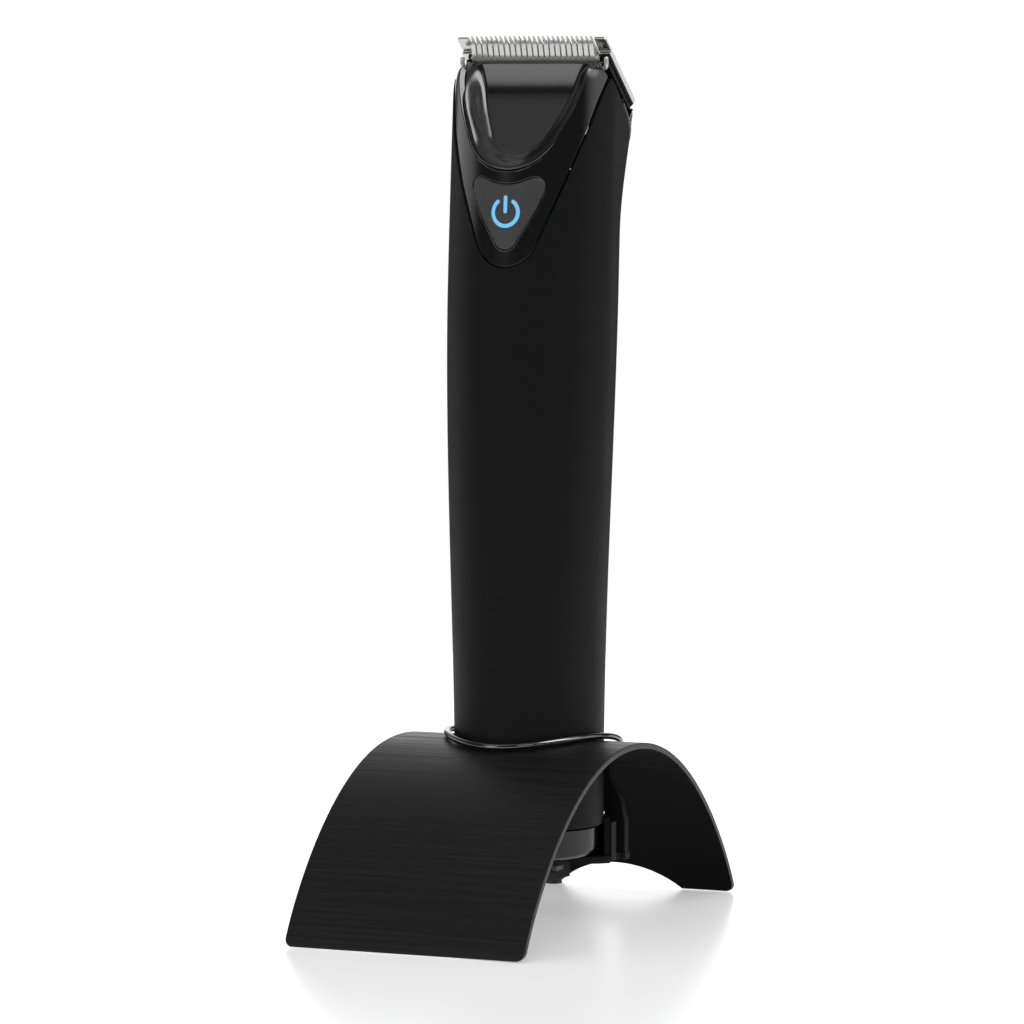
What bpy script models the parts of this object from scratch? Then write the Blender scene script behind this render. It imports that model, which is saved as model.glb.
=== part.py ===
"""Cordless body groomer in its bent-sheet charging stand, one object for each separate piece.

Sizes are in millimetres, and the helpers turn them into metres. The groomer's front, with its power
button, faces -Y. +X is on the right seen from the front, and +Z is up. The origin is the centre of
the stand's footprint, on the surface that it stands on.
"""

from math import acos, atan2, cos, pi, radians, sin, sqrt, tan

import bmesh
import bpy
from mathutils import Matrix, Vector

MM = 0.001
GAP = 0.3                                   # clearance between two pieces that touch

# Stand: one sheet bent into an arch that runs front to back.
STAND_WIDTH = 55.0
STAND_DEPTH = 117.26
STAND_HEIGHT = 39.18
ARCH_ROUND = 2.079                          # exponents of the arch's outer profile
ARCH_SHOULDER = 1.175
SHEET = 1.3
FOOT_CORNER = 1.8
REAR_CUT_HALF = 15.0                        # arc cut from the rear foot, at the floor
REAR_CUT_RISE = 5.5
PLUG_HOLE_Z = 17.4
PLUG_HOLE_RADIUS = 5.5
MOUTH_Y = 8.93                              # centre of the hole that the groomer stands in
MOUTH_HALF_X = 17.5
MOUTH_HALF_Y = 21.4
WIRE_RADIUS = 0.7
WIRE_RISE = 1.06                            # wire's centre above the sheet's outer surface

# Dock: plastic bracket hung under the sheet on two legs.
DOCK_FLOOR = (11.6, 13.1)
DOCK_WALL = (16.6, 17.6)                    # inner and outer radius of the rear wall
DOCK_WALL_TOP = 21.4
DOCK_LEG_Y = (17.5, 19.7)
PIN_X = 5.0
PIN_RADIUS = 0.9
SOCKET_Y = (24.1, 33.5)
SOCKET_HALF = 4.5
SOCKET_BORE = 3.1

# Groomer: sections across +Z are half ellipses in front and squarer ones behind.
CAP_BOTTOM = 13.5
SLEEVE_BOTTOM = 20.2
CHASSIS_TOP = 139.0
BODY_TOP = 187.0
AXIS_Y = 6.2                                # centre of the lower body's sections
LOWER_HALF_X = 16.2
UPPER_HALF_X = 18.9
LOWER_HALF_Y = 16.0
SLEEVE_THICK = 1.2
HOUSING_INSET = 0.4                         # exposed housing lies this far inside the sleeve's skin
HOUSING_THICK = 1.6
SKIRT_INSET = SLEEVE_THICK + GAP + 0.1
SKIRT_THICK = 1.2
SPLIT_Y = 11.0                              # front and rear upper housings meet here

# Cutting head, with the blade frame's origin at the middle of the row of tips.
TIP_Y = 7.3
TIP_Z = 191.0
BLADE_TILT = radians(39.6)                  # blades slope down to the rear by this much
FIXED_THICK = 1.35
FIXED_WIDTH = 35.0
FIXED_LENGTH = 22.4
FIXED_TEETH = 26
CUTTER_TEETH = 22
CUTTER_TOP = -1.65                          # moving blade's layers, below the blade frame's plane
CUTTER_BOTTOM = -2.75
TOOTH_ROW_HALF = 14.6
CUTTER_THROW = 1.2                          # eccentric's radius, and the moving blade's half stroke

# Drive and power.
MOTOR_Y = 11.75
MOTOR_RADIUS = 7.75
CELL_RADIUS = 9.2
BOARD_Y = (-0.6, 0.6)

FINISHES = {
    # name: colour, metallic, roughness
    "matte_black": ((0.016, 0.016, 0.017), 0.2, 0.55),
    "gloss_black": ((0.006, 0.006, 0.007), 0.0, 0.12),
    "satin_black": ((0.05, 0.05, 0.052), 0.0, 0.42),
    "dark_chrome": ((0.12, 0.12, 0.13), 1.0, 0.12),
    "dock_black": ((0.02, 0.02, 0.021), 0.0, 0.5),
    "blade_steel": ((0.62, 0.62, 0.63), 1.0, 0.2),
    "screw_steel": ((0.5, 0.5, 0.51), 1.0, 0.3),
    "gold_contact": ((0.83, 0.62, 0.28), 1.0, 0.25),
    "board_green": ((0.02, 0.12, 0.05), 0.0, 0.45),
    "cell_wrap": ((0.05, 0.16, 0.4), 0.0, 0.4),
    "motor_can": ((0.6, 0.6, 0.6), 1.0, 0.35),
    "inner_plastic": ((0.3, 0.3, 0.3), 0.0, 0.5),
    "seal_rubber": ((0.02, 0.02, 0.02), 0.0, 0.8),
    "symbol_blue": ((0.2, 0.6, 0.95), 0.0, 0.3),
}


# --- scene, materials and collections ---------------------------------------------------------


def clear_scene():
    for obj in list(bpy.data.objects):
        bpy.data.objects.remove(obj, do_unlink=True)


def make_collection(name):
    collection = bpy.data.collections.new(name)
    bpy.context.scene.collection.children.link(collection)
    return collection


def material(name):
    found = bpy.data.materials.get(name)
    if found:
        return found
    colour, metallic, roughness = FINISHES[name]
    made = bpy.data.materials.new(name)
    made.use_nodes = True
    shader = made.node_tree.nodes["Principled BSDF"]
    shader.inputs["Base Color"].default_value = (*colour, 1.0)
    shader.inputs["Metallic"].default_value = metallic
    shader.inputs["Roughness"].default_value = roughness
    made.diffuse_color = (*colour, 1.0)
    return made


def add_object(name, mesh, finish):
    """Puts a mesh in the scene: as a piece if it has a finish, as a cutter if it has none."""
    obj = bpy.data.objects.new(name, mesh)
    if finish:
        PIECES.objects.link(obj)
        mesh.materials.append(material(finish))
        mesh.shade_smooth()
        mesh.set_sharp_from_angle(angle=radians(35))
    else:
        CUTTERS.objects.link(obj)
        obj.hide_render = True
        obj.display_type = "WIRE"
    return obj


def add_bmesh(name, bm, finish, closed=True):
    """Makes an object of a bmesh. An open surface keeps the normals that its faces were made with."""
    if closed:
        bmesh.ops.recalc_face_normals(bm, faces=bm.faces)
    mesh = bpy.data.meshes.new(name)
    bm.to_mesh(mesh)
    bm.free()
    return add_object(name, mesh, finish)


# --- solids -----------------------------------------------------------------------------------


def box(name, low, high, finish=None):
    bm = bmesh.new()
    size = [(b - a) * MM for a, b in zip(low, high)]
    middle = [(a + b) / 2 * MM for a, b in zip(low, high)]
    place = Matrix.Translation(middle) @ Matrix.Diagonal((*size, 1.0))
    bmesh.ops.create_cube(bm, size=1.0, matrix=place)
    return add_bmesh(name, bm, finish)


def cylinder(name, start, radius, length, axis="Z", finish=None, sides=12):
    """A cylinder that begins at start and runs along +axis."""
    turn = {
        "X": Matrix.Rotation(pi / 2, 4, "Y"),
        "Y": Matrix.Rotation(-pi / 2, 4, "X"),
        "Z": Matrix.Identity(4),
    }[axis]
    bm = bmesh.new()
    half = Matrix.Translation((0, 0, length * MM / 2))
    place = Matrix.Translation(Vector(start) * MM) @ turn @ half
    bmesh.ops.create_cone(
        bm,
        cap_ends=True,
        segments=sides,
        radius1=radius * MM,
        radius2=radius * MM,
        depth=length * MM,
        matrix=place,
    )
    return add_bmesh(name, bm, finish)


def mesh_of_curve(name, curve, place, finish):
    """Turns a curve into a closed mesh and puts it in place."""
    source = bpy.data.objects.new(name + "_curve", curve)
    CUTTERS.objects.link(source)
    bpy.context.view_layer.update()
    graph = bpy.context.evaluated_depsgraph_get()
    mesh = bpy.data.meshes.new_from_object(source.evaluated_get(graph))
    bpy.data.objects.remove(source, do_unlink=True)
    bm = bmesh.new()
    bm.from_mesh(mesh)
    bpy.data.meshes.remove(mesh)
    bmesh.ops.remove_doubles(bm, verts=bm.verts, dist=1e-6)
    bmesh.ops.transform(bm, matrix=place, verts=bm.verts)
    return add_bmesh(name, bm, finish)


# How an outline's own x, y and thickness lie in the model, for each axis that it runs along.
PRISM_TURNS = {
    "X": Matrix(((0, 0, 1, 0), (1, 0, 0, 0), (0, 1, 0, 0), (0, 0, 0, 1))),
    "Y": Matrix(((1, 0, 0, 0), (0, 0, -1, 0), (0, 1, 0, 0), (0, 0, 0, 1))),
    "Z": Matrix.Identity(4),
}


def prism(name, outline, low, high, axis="Z", finish=None, turn=None):
    """A flat outline run from low to high along an axis: (y, z) for X, (x, z) for Y, (x, y) for Z."""
    curve = bpy.data.curves.new(name, "CURVE")
    curve.dimensions = "2D"
    curve.fill_mode = "BOTH"
    curve.extrude = (high - low) / 2 * MM
    spline = curve.splines.new("POLY")
    spline.points.add(len(outline) - 1)
    for point, (across, up) in zip(spline.points, outline):
        point.co = (across * MM, up * MM, 0, 1)
    spline.use_cyclic_u = True
    middle = (low + high) / 2 * MM
    if axis == "Y":
        middle = -middle
    place = PRISM_TURNS[axis] @ Matrix.Translation((0, 0, middle))
    if turn:
        place = turn @ place
    return mesh_of_curve(name, curve, place, finish)


def tube(name, points, radius, finish, cyclic=False, resolution=2):
    """A round wire or tube through the points."""
    curve = bpy.data.curves.new(name, "CURVE")
    curve.dimensions = "3D"
    curve.bevel_depth = radius * MM
    curve.bevel_resolution = resolution
    curve.use_fill_caps = True
    spline = curve.splines.new("POLY")
    spline.points.add(len(points) - 1)
    for point, place in zip(spline.points, points):
        point.co = (*(Vector(place) * MM), 1)
    spline.use_cyclic_u = cyclic
    return mesh_of_curve(name, curve, Matrix.Identity(4), finish)


def boolean(target, tool, operation="DIFFERENCE"):
    modifier = target.modifiers.new(tool.name, "BOOLEAN")
    modifier.operation = operation
    modifier.object = tool
    return target


def cut(target, *tools):
    for tool in tools:
        boolean(target, tool)
    return target


def join(target, *tools):
    for tool in tools:
        boolean(target, tool, "UNION")
    return target


def keep(target, *tools):
    for tool in tools:
        boolean(target, tool, "INTERSECT")
    return target


def use_manifold_solver(obj):
    """For a shape whose near-flat faces the exact solver leaves open."""
    for modifier in obj.modifiers:
        if modifier.type == "BOOLEAN":
            modifier.solver = "MANIFOLD"
    return obj


# --- outlines ---------------------------------------------------------------------------------


def arc(centre, radius, start, end, steps=12):
    """Points along an arc between two angles in degrees."""
    angles = [radians(start + (end - start) * i / steps) for i in range(steps + 1)]
    return [(centre[0] + radius * cos(a), centre[1] + radius * sin(a)) for a in angles]


def rounded(corners, steps=6):
    """A closed outline from (x, y, radius) corners, each rounded by its radius."""
    points = []
    count = len(corners)
    for i, (x, y, radius) in enumerate(corners):
        here = Vector((x, y))
        to_last = (Vector(corners[i - 1][:2]) - here).normalized()
        to_next = (Vector(corners[(i + 1) % count][:2]) - here).normalized()
        if radius == 0:
            points.append((x, y))
            continue
        half = acos(max(-1.0, min(1.0, to_last.dot(to_next)))) / 2
        middle = here + (to_last + to_next).normalized() * radius / sin(half)
        first = here + to_last * radius / tan(half) - middle
        last = here + to_next * radius / tan(half) - middle
        begin = atan2(first.y, first.x)
        sweep = (atan2(last.y, last.x) - begin + pi) % (2 * pi) - pi
        for step in range(steps + 1):
            angle = begin + sweep * step / steps
            points.append((middle.x + radius * cos(angle), middle.y + radius * sin(angle)))
    return points


def mirrored(half):
    """A whole outline from its +X half, listed from the bottom up."""
    return half + [(-x, y) for x, y in reversed(half) if x > 1e-9]


def mirrored_corners(half):
    return half + [(-x, y, r) for x, y, r in reversed(half) if x > 1e-9]


def smooth(t):
    t = max(0.0, min(1.0, t))
    return t * t * (3 - 2 * t)


# --- the groomer's body form --------------------------------------------------------------------


def body_centre(z):
    """The body leans back towards its head."""
    return AXIS_Y + 3.05 * (max(0.0, z - 62) / 92) ** 2


def body_half_x(z):
    return LOWER_HALF_X + (UPPER_HALF_X - LOWER_HALF_X) * smooth((z - 28) / 110)


def body_ring(z, inset, count):
    """Points round the body's section at height z, inset by that much."""
    half_x = body_half_x(z) - inset
    front = LOWER_HALF_Y - 0.2 * smooth((z - 130) / 30) - inset
    rear = LOWER_HALF_Y - 0.5 * smooth((z - 130) / 40) - inset
    squareness = 2.1 + 2.6 * (max(0.0, z - 148) / 28) ** 2
    ring = []
    for i in range(count):
        angle = 2 * pi * i / count
        c, s = cos(angle), sin(angle)
        power = 2 / squareness if s > 0 else 1.0
        x = half_x * (abs(c) ** power) * (1 if c > 0 else -1)
        y = (rear if s > 0 else front) * (abs(s) ** power) * (1 if s > 0 else -1)
        ring.append(Vector((x, body_centre(z) + y, z)) * MM)
    return ring


def body_heights(low, high):
    """Section heights, closer together where the body's form changes faster."""
    levels = [28, 50, 70, 95, 120, 140, 154, 163, 171, 178]
    return [low] + [z for z in levels if low + 2 < z < high - 2] + [high]


def body_surface(name, sections, finish, closed, count=36):
    """A loft through (z, inset) sections of the body: a solid if closed, else an open sleeve."""
    bm = bmesh.new()
    rings = []
    for z, inset in sections:
        rings.append([bm.verts.new(p) for p in body_ring(z, inset, count)])
    for lower, upper in zip(rings, rings[1:]):
        for i in range(count):
            j = (i + 1) % count
            bm.faces.new((lower[i], lower[j], upper[j], upper[i]))
    if closed:
        bm.faces.new(list(reversed(rings[0])))
        bm.faces.new(rings[-1])
    return add_bmesh(name, bm, finish, closed)


def body_solid(name, low, high, inset, finish=None):
    return body_surface(name, [(z, inset) for z in body_heights(low, high)], finish, closed=True)


def body_shell(name, low, high, inset, thickness, finish=None):
    """The body's skin at an inset, thickened inwards."""
    sections = [(z, inset) for z in body_heights(low, high)]
    shell = body_surface(name, sections, finish, closed=False)
    solidify = shell.modifiers.new("Solidify", "SOLIDIFY")
    solidify.thickness = thickness * MM
    solidify.offset = -1
    solidify.use_even_offset = True
    return shell


# --- outlines that the sleeve, housings, button and head share ------------------------------------


def front_notch(name, margin=0.0, finish=None):
    """The rounded V that the sleeve leaves open in front, in (x, z)."""
    half = [
        (0.0, 127.9 + 2.6 * margin, 7.76 - margin),
        (12.5 - margin, 159.7, 40.0),
        (16.0 - margin, 170.5, 40.0),
        (18.7 - margin, 182.5, 20.0),
        (20.5 - margin, 200.0, 0.0),
    ]
    return prism(name, rounded(mirrored_corners(half)), -30, AXIS_Y + 6, "Y", finish)


def rear_notch(name, margin=0.0):
    """The part of the rear that the sleeve leaves open, in (y, z), up to the head."""
    outline = rounded(
        [
            (6.9, 183.6 + margin, 0.0),
            (12.0, 178.2 + margin, 30.0),
            (17.0, 173.0 + margin, 20.0),
            (21.5, 165.5 + margin, 20.0),
            (29.0, 158.5 + margin, 0.0),
            (40.0, 158.5 + margin, 0.0),
            (40.0, 205.0, 0.0),
            (6.9, 205.0, 0.0),
        ]
    )
    return prism(name, outline, -30, 30, "X")


def head_front_outline(inset=0.0):
    """The head's rounded V seen from the front, in (x, z)."""
    half = [
        (0.0, 146.5 + 2.39 * inset, 11.3 - inset),
        (13.6 - inset, 176.0, 25.0),
        (16.3 - inset, 186.5, 0.0),
        (16.3 - inset, 205.0, 0.0),
    ]
    return rounded(mirrored_corners(half))


def head_face():
    """The head's front edge seen from the side, from its foot up to its top, in (y, z)."""
    return [
        (-5.6, 162.2),
        (-4.1, 165.5),
        (-1.6, 171.2),
        (0.0, 174.7),
        (1.3, 177.7),
        (3.2, 180.5),
        (5.8, 183.2),
        (8.5, 185.5),
    ]


def button_outline(margin=0.0):
    """Three-lobed power button, in (x, z)."""
    foot = (0.0, 142.9 - 1.6 * margin, 2.6 + margin)
    hollow = (0.0, 158.4 + margin, 12.0 - margin)
    side = [(6.6 + margin, 153.4, 30.0), (9.95 + 1.4 * margin, 162.1 + margin, 2.0 + margin)]
    return rounded([foot, *side, hollow] + [(-x, z, r) for x, z, r in reversed(side)])


# --- stand ------------------------------------------------------------------------------------------


def arch_height(y):
    """Height of the arch's outer surface."""
    reach = min(1.0, abs(2 * y / STAND_DEPTH))
    return STAND_HEIGHT * (1 - reach**ARCH_ROUND) ** (1 / ARCH_SHOULDER)


def stand_arch():
    """The bent sheet, its mouth, the rear foot's arc and the hole for the charging plug."""
    half = STAND_DEPTH / 2
    steps = 40
    profile = [(-half, -2.0)]
    for i in range(steps + 1):
        y = half * sin(pi * (i / steps - 0.5))
        profile.append((y, arch_height(y)))
    profile.append((half, -2.0))
    bm = bmesh.new()
    edges = STAND_WIDTH / 2
    rows = [[bm.verts.new(Vector((x, y, z)) * MM) for x in (-edges, edges)] for y, z in profile]
    for first, second in zip(rows, rows[1:]):
        bm.faces.new((first[0], first[1], second[1], second[0]))
    mesh = bpy.data.meshes.new("stand_arch")
    bm.to_mesh(mesh)
    bm.free()
    sheet = add_object("stand_arch", mesh, "matte_black")
    solidify = sheet.modifiers.new("Solidify", "SOLIDIFY")
    solidify.thickness = SHEET * MM
    solidify.offset = -1
    solidify.use_even_offset = True
    cut(sheet, box("floor_trim", (-40, -70, -10), (40, 70, 0)))
    cut(sheet, mouth_cutter(), rear_foot_cutter(), plug_hole_cutter())
    for side in (-1, 1):
        cut(sheet, foot_corner_cutter(side))
    return sheet


def mouth_cutter():
    angles = [2 * pi * i / 40 for i in range(40)]
    outline = [(MOUTH_HALF_X * cos(a), MOUTH_Y + MOUTH_HALF_Y * sin(a)) for a in angles]
    return prism("mouth_cutter", outline, 15, 60)


def rear_foot_cutter():
    radius = (REAR_CUT_HALF**2 + REAR_CUT_RISE**2) / (2 * REAR_CUT_RISE)
    start = (0, 45, REAR_CUT_RISE - radius)
    return cylinder("rear_foot_cutter", start, radius, 30, "Y", sides=80)


def plug_hole_cutter():
    return cylinder("plug_hole_cutter", (0, 36, PLUG_HOLE_Z), PLUG_HOLE_RADIUS, 30, "Y", sides=28)


def foot_corner_cutter(side):
    """Rounds the two feet's corners on one side."""
    edge = STAND_WIDTH / 2
    r = FOOT_CORNER
    outline = [(edge + 2, -2), (edge - r, -2)] + arc((edge - r, r), r, -90, 0, 6) + [(edge + 2, r)]
    outline = [(side * x, z) for x, z in outline]
    return prism(f"foot_corner_cutter_{side}", outline, -70, 70, "Y")


def mouth_ring():
    """Wire ring round the mouth, lying along the sheet."""
    points = []
    for i in range(44):
        angle = 2 * pi * i / 44
        x = (MOUTH_HALF_X + WIRE_RADIUS + 0.05) * cos(angle)
        y = MOUTH_Y + (MOUTH_HALF_Y + WIRE_RADIUS + 0.1) * sin(angle)
        points.append((x, y, arch_height(y) + WIRE_RISE + 0.25 * max(0.0, sin(angle))))
    return tube("mouth_ring", points, WIRE_RADIUS, "dark_chrome", cyclic=True, resolution=1)


def dock_floor_outline():
    """Small round nose in front, and a wider rear with a tongue for the socket."""
    nose = arc((0, AXIS_Y), 10.0, -90, 0, 8)
    rear = arc((0, AXIS_Y), DOCK_WALL[1] + 0.25, 14, 28, 3)
    legs = [(17.0, 17.2), (18.1, 17.2), (18.1, 20.0), (12.0, 20.6)]
    tongue = [(6.2, 23.0), (6.2, SOCKET_Y[1])]
    half = nose + [(15.5, 8.6)] + rear + legs + tongue
    return mirrored(half)


def dock_bracket():
    """Floor, rear wall, ribs and two legs, moulded in one."""
    low, top = DOCK_FLOOR
    bracket = prism("dock_bracket", dock_floor_outline(), low, top, finish="dock_black")
    inner, outer = DOCK_WALL
    wall = arc((0, AXIS_Y), outer, 16, 164, 20) + arc((0, AXIS_Y), inner, 164, 16, 20)
    join(bracket, prism("dock_wall", wall, top - 0.6, DOCK_WALL_TOP))
    for side in (-1, 1):
        rib = sorted((side * 15.4, side * 17.3))
        join(bracket, box(f"dock_rib_{side}", (rib[0], 11.6, low + 0.3), (rib[1], 14.2, 20.4)))
        join(bracket, dock_leg(side))
    block = box("contact_block_slot", (-7.8, 4.1, 5), (7.8, 8.3, 20))
    cut(bracket, block)
    for side in (-1, 1):
        cut(bracket, cylinder(f"cover_screw_hole_{side}", (side * 3.6, 11.6, 5), 1.1, 12, sides=12))
    return use_manifold_solver(bracket)


def dock_leg(side):
    """Curved leg from the floor up to the sheet's underside, in (x, z)."""
    outer = [(17.9, 12.0), (17.9, 20.0), (16.8, 24.9), (15.5, 27.0), (14.3, 29.5), (14.0, 33.6)]
    inner = [(11.9, 33.6), (11.9, 24.4), (13.5, 20.7), (14.3, 19.0), (15.9, 12.0)]
    outline = [(side * x, z) for x, z in outer + inner]
    return prism(f"dock_leg_{side}", outline, *DOCK_LEG_Y, "Y")


def dock_electrics():
    """Tray with the charging board under the floor, contact block, pins and power socket."""
    tray = box("dock_cover", (-6.4, -2.6, 7.7), (6.4, 14.2, 11.3), "dock_black")
    cut(tray, box("dock_cover_hollow", (-5.4, -1.6, 8.5), (5.4, 9.6, 20)))
    for side in (-1, 1):
        x = side * 3.6
        cut(tray, cylinder(f"cover_hole_{side}", (x, 11.6, 5), 1.1, 12, sides=12))
        shank = cylinder(f"cover_screw_{side_name(side)}", (x, 11.6, 6.4), 1.8, 1.0, finish="screw_steel")
        join(shank, cylinder(f"cover_screw_shank_{side}", (x, 11.6, 7.2), 0.8, 5.2, sides=12))
    box("dock_board", (-5.1, -1.3, 8.8), (5.1, 9.3, 9.8), "board_green")
    block = box("contact_block", (-7.5, 4.4, 10.1), (7.5, 8.0, 12.8), "inner_plastic")
    slots = box("tray_block_slot", (-7.8, 4.1, 9.9), (7.8, 8.3, 20))
    cut(tray, slots)
    for side in (-1, 1):
        x = side * PIN_X
        cut(block, cylinder(f"pin_hole_{side}", (x, AXIS_Y, 5), PIN_RADIUS + GAP, 20, sides=12))
        pin = cylinder(f"charge_pin_{side_name(side)}", (x, AXIS_Y, 10.9), PIN_RADIUS, 2.3,
                       finish="gold_contact", sides=12)
        rounding = pin.modifiers.new("Bevel", "BEVEL")
        rounding.width = 0.25 * MM
        rounding.segments = 2
        rounding.limit_method = "ANGLE"
    low, high = SOCKET_Y
    base = DOCK_FLOOR[1] + GAP
    top = 2 * PLUG_HOLE_Z - base
    socket = box("power_socket", (-SOCKET_HALF, low, base), (SOCKET_HALF, high, top), "dock_black")
    cut(socket, cylinder("socket_bore", (0, low + 1.5, PLUG_HOLE_Z), SOCKET_BORE, 20, "Y"))


def side_name(side):
    return "left" if side < 0 else "right"


# --- groomer: shells ----------------------------------------------------------------------------------


def body_sleeve():
    """Matte outer sleeve, open in a V in front and along a curve behind."""
    sleeve = body_shell("body_sleeve", SLEEVE_BOTTOM, BODY_TOP, 0.0, SLEEVE_THICK, "matte_black")
    return cut(sleeve, front_notch("sleeve_front_notch"), rear_notch("sleeve_rear_notch"))


def upper_limit(name, front_top=184.4):
    """Everything that an upper housing may fill under the head, in (y, z)."""
    outline = [
        (-30, 135),
        (40, 135),
        (40, 168.8),
        (27.0, 169.6),
        (20.0, 171.3),
        (16.6, 173.6),
        (12.0, 178.0),
        (10.6, 180.2),
        (6.6, front_top),
        (-30, front_top),
    ]
    return prism(name, outline, -30, 30, "X")


def head_room(name):
    """Room for the head between the front housing's shoulders."""
    return prism(name, head_front_outline(-GAP), -30, SPLIT_Y + 1, "Y")


def front_housing():
    """Glossy fascia in the sleeve's V, on a skirt that lies inside the sleeve."""
    low = CHASSIS_TOP + GAP
    housing = body_shell("front_housing", low, BODY_TOP, SKIRT_INSET, SKIRT_THICK, "gloss_black")
    face = body_shell("fascia_face", low, BODY_TOP, HOUSING_INSET, HOUSING_THICK)
    keep(face, front_notch("fascia_notch", GAP))
    join(housing, face)
    keep(housing, box("front_half", (-30, -30, low), (30, SPLIT_Y, 200)))
    keep(housing, upper_limit("front_housing_limit"))
    cut(housing, head_room("front_head_room"))
    cut(housing, prism("button_window", button_outline(GAP), -30, 2, "Y"))
    return use_manifold_solver(housing)


def rear_housing():
    """Glossy rear cover above the sleeve, on a skirt inside the sleeve, with a thumb rise."""
    low = CHASSIS_TOP + GAP
    housing = body_shell("rear_housing", low, BODY_TOP, SKIRT_INSET, SKIRT_THICK, "gloss_black")
    face = body_shell("rear_face", low, BODY_TOP, HOUSING_INSET - 0.5, HOUSING_THICK + 0.5)
    keep(face, rear_notch("rear_face_notch", GAP))
    join(housing, face)
    keep(housing, box("rear_half", (-30, SPLIT_Y + GAP, low), (30, 40, 200)))
    keep(housing, upper_limit("rear_housing_limit"))
    return housing


def chassis_half(name, low_y, high_y):
    """One half of the inner frame that holds the cell and the motor."""
    half = body_shell(name, 27.0, CHASSIS_TOP, SKIRT_INSET, SKIRT_THICK, "inner_plastic")
    return keep(half, box(name + "_half", (-30, low_y, 20), (30, high_y, 200)))


def end_cap():
    """Glossy cap with a rounded lower edge and a spigot inside the sleeve."""
    sections = [(CAP_BOTTOM, 2.4), (13.8, 1.7), (14.5, 1.15), (15.4, 0.95), (19.9, 0.9)]
    cap = body_surface("end_cap", sections, "gloss_black", closed=True)
    spigot = body_surface("cap_spigot", [(19.0, SKIRT_INSET), (26.5, SKIRT_INSET)], None, closed=True)
    join(cap, spigot)
    cut(cap, body_surface("cap_hollow", [(16.0, 3.4), (30.0, 3.4)], None, closed=True))
    groove = body_surface("seal_groove", [(21.6, 0.0), (23.6, 0.0)], None, closed=True)
    cut(groove, body_surface("seal_groove_floor", [(20.0, 2.5), (25.0, 2.5)], None, closed=True))
    cut(cap, groove)
    for side in (-1, 1):
        x = side * PIN_X
        cut(cap, cylinder(f"contact_hole_{side}", (x, AXIS_Y, 9), 2.2 + GAP, 9.5))
        cylinder(f"charge_contact_{side_name(side)}", (x, AXIS_Y, CAP_BOTTOM + 0.2), 2.2, 2.0,
                 finish="gold_contact")
    cut(cap, cylinder("cap_screw_hole", (0, -2.5, 10), 1.2, 12, sides=12))
    cut(cap, cylinder("cap_screw_recess", (0, -2.5, 10), 2.3, 4.9, sides=16))
    screw = cylinder("cap_screw", (0, -2.5, 13.8), 2.0, 0.9, finish="screw_steel")
    join(screw, cylinder("cap_screw_shank", (0, -2.5, 14.5), 0.9, 6.5, sides=12))
    return cap


def cap_seal():
    """Rubber ring in the spigot's groove."""
    inset = 1.95
    ring = body_ring(22.6, inset, 28)
    points = [tuple(p / MM) for p in ring]
    return tube("cap_seal", points, 0.42, "seal_rubber", cyclic=True, resolution=0)


# --- groomer: power, drive and switch -----------------------------------------------------------------


def power_train():
    """Cell with its tabs, motor on its mount, shaft and eccentric."""
    cylinder("battery_cell", (0, AXIS_Y, 30.0), CELL_RADIUS, 65.0, finish="cell_wrap", sides=28)
    cylinder("battery_tab_bottom", (0, AXIS_Y, 28.8), 5.0, 0.8, finish="screw_steel")
    cylinder("battery_tab_top", (0, AXIS_Y, 95.4), 5.0, 0.8, finish="screw_steel")
    motor = cylinder("drive_motor", (0, MOTOR_Y, 122.0), MOTOR_RADIUS, 26.0, finish="motor_can", sides=28)
    join(motor, cylinder("motor_boss", (0, MOTOR_Y, 147.0), 3.0, 2.8))
    outline = rounded([(12.4, 4.0, 2), (12.4, 17.5, 6), (-12.4, 17.5, 6), (-12.4, 4.0, 2)])
    mount = prism("motor_mount", outline, 148.3, 150.3, finish="inner_plastic")
    cut(mount, cylinder("motor_boss_hole", (0, MOTOR_Y, 140), 3.0 + GAP, 20))
    for side in (-1, 1):
        x = side * 5.6
        cut(mount, cylinder(f"mount_hole_{side}", (x, MOTOR_Y, 140), 1.1, 20, sides=12))
        name = f"motor_screw_{side_name(side)}"
        screw = cylinder(name, (x, MOTOR_Y, 150.6), 1.6, 1.1, finish="screw_steel")
        join(screw, cylinder(f"motor_screw_shank_{side}", (x, MOTOR_Y, 148.4), 0.8, 2.6, sides=12))
    cylinder("motor_shaft", (0, MOTOR_Y, 150.1), 0.9, 5.8, finish="screw_steel")
    cam = cylinder("eccentric_cam", (0, MOTOR_Y, 153.0), 3.6, 4.5, finish="satin_black")
    join(cam, cylinder("eccentric_pin", (CUTTER_THROW, MOTOR_Y, 157.0), 1.0, 7.2))
    cut(cam, cylinder("cam_bore", (0, MOTOR_Y, 152.0), 0.9 + GAP, 4.2, sides=12))


def control_board():
    """Upright circuit board with the button's switch on its front."""
    front, rear = BOARD_Y
    board = box("main_board", (-8, front, 100), (8, rear, 157), "board_green")
    for name, z in (("bottom", 104.0), ("top", 143.0)):
        cut(board, cylinder(f"board_hole_{name}", (0, -5, z), 1.1, 10, "Y", sides=12))
        screw = cylinder(f"board_screw_{name}", (0, front - GAP - 1.0, z), 1.6, 1.0, "Y", "screw_steel")
        join(screw, cylinder(f"board_screw_shank_{name}", (0, front - 0.5, z), 0.8, 2.6, "Y", sides=12))
    switch = box("tact_switch", (-3, -2.6, 149.5), (3, front - GAP, 155.5), "satin_black")
    join(switch, cylinder("switch_plunger", (0, -2.9, 152.5), 1.2, 1.0, "Y"))


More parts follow.
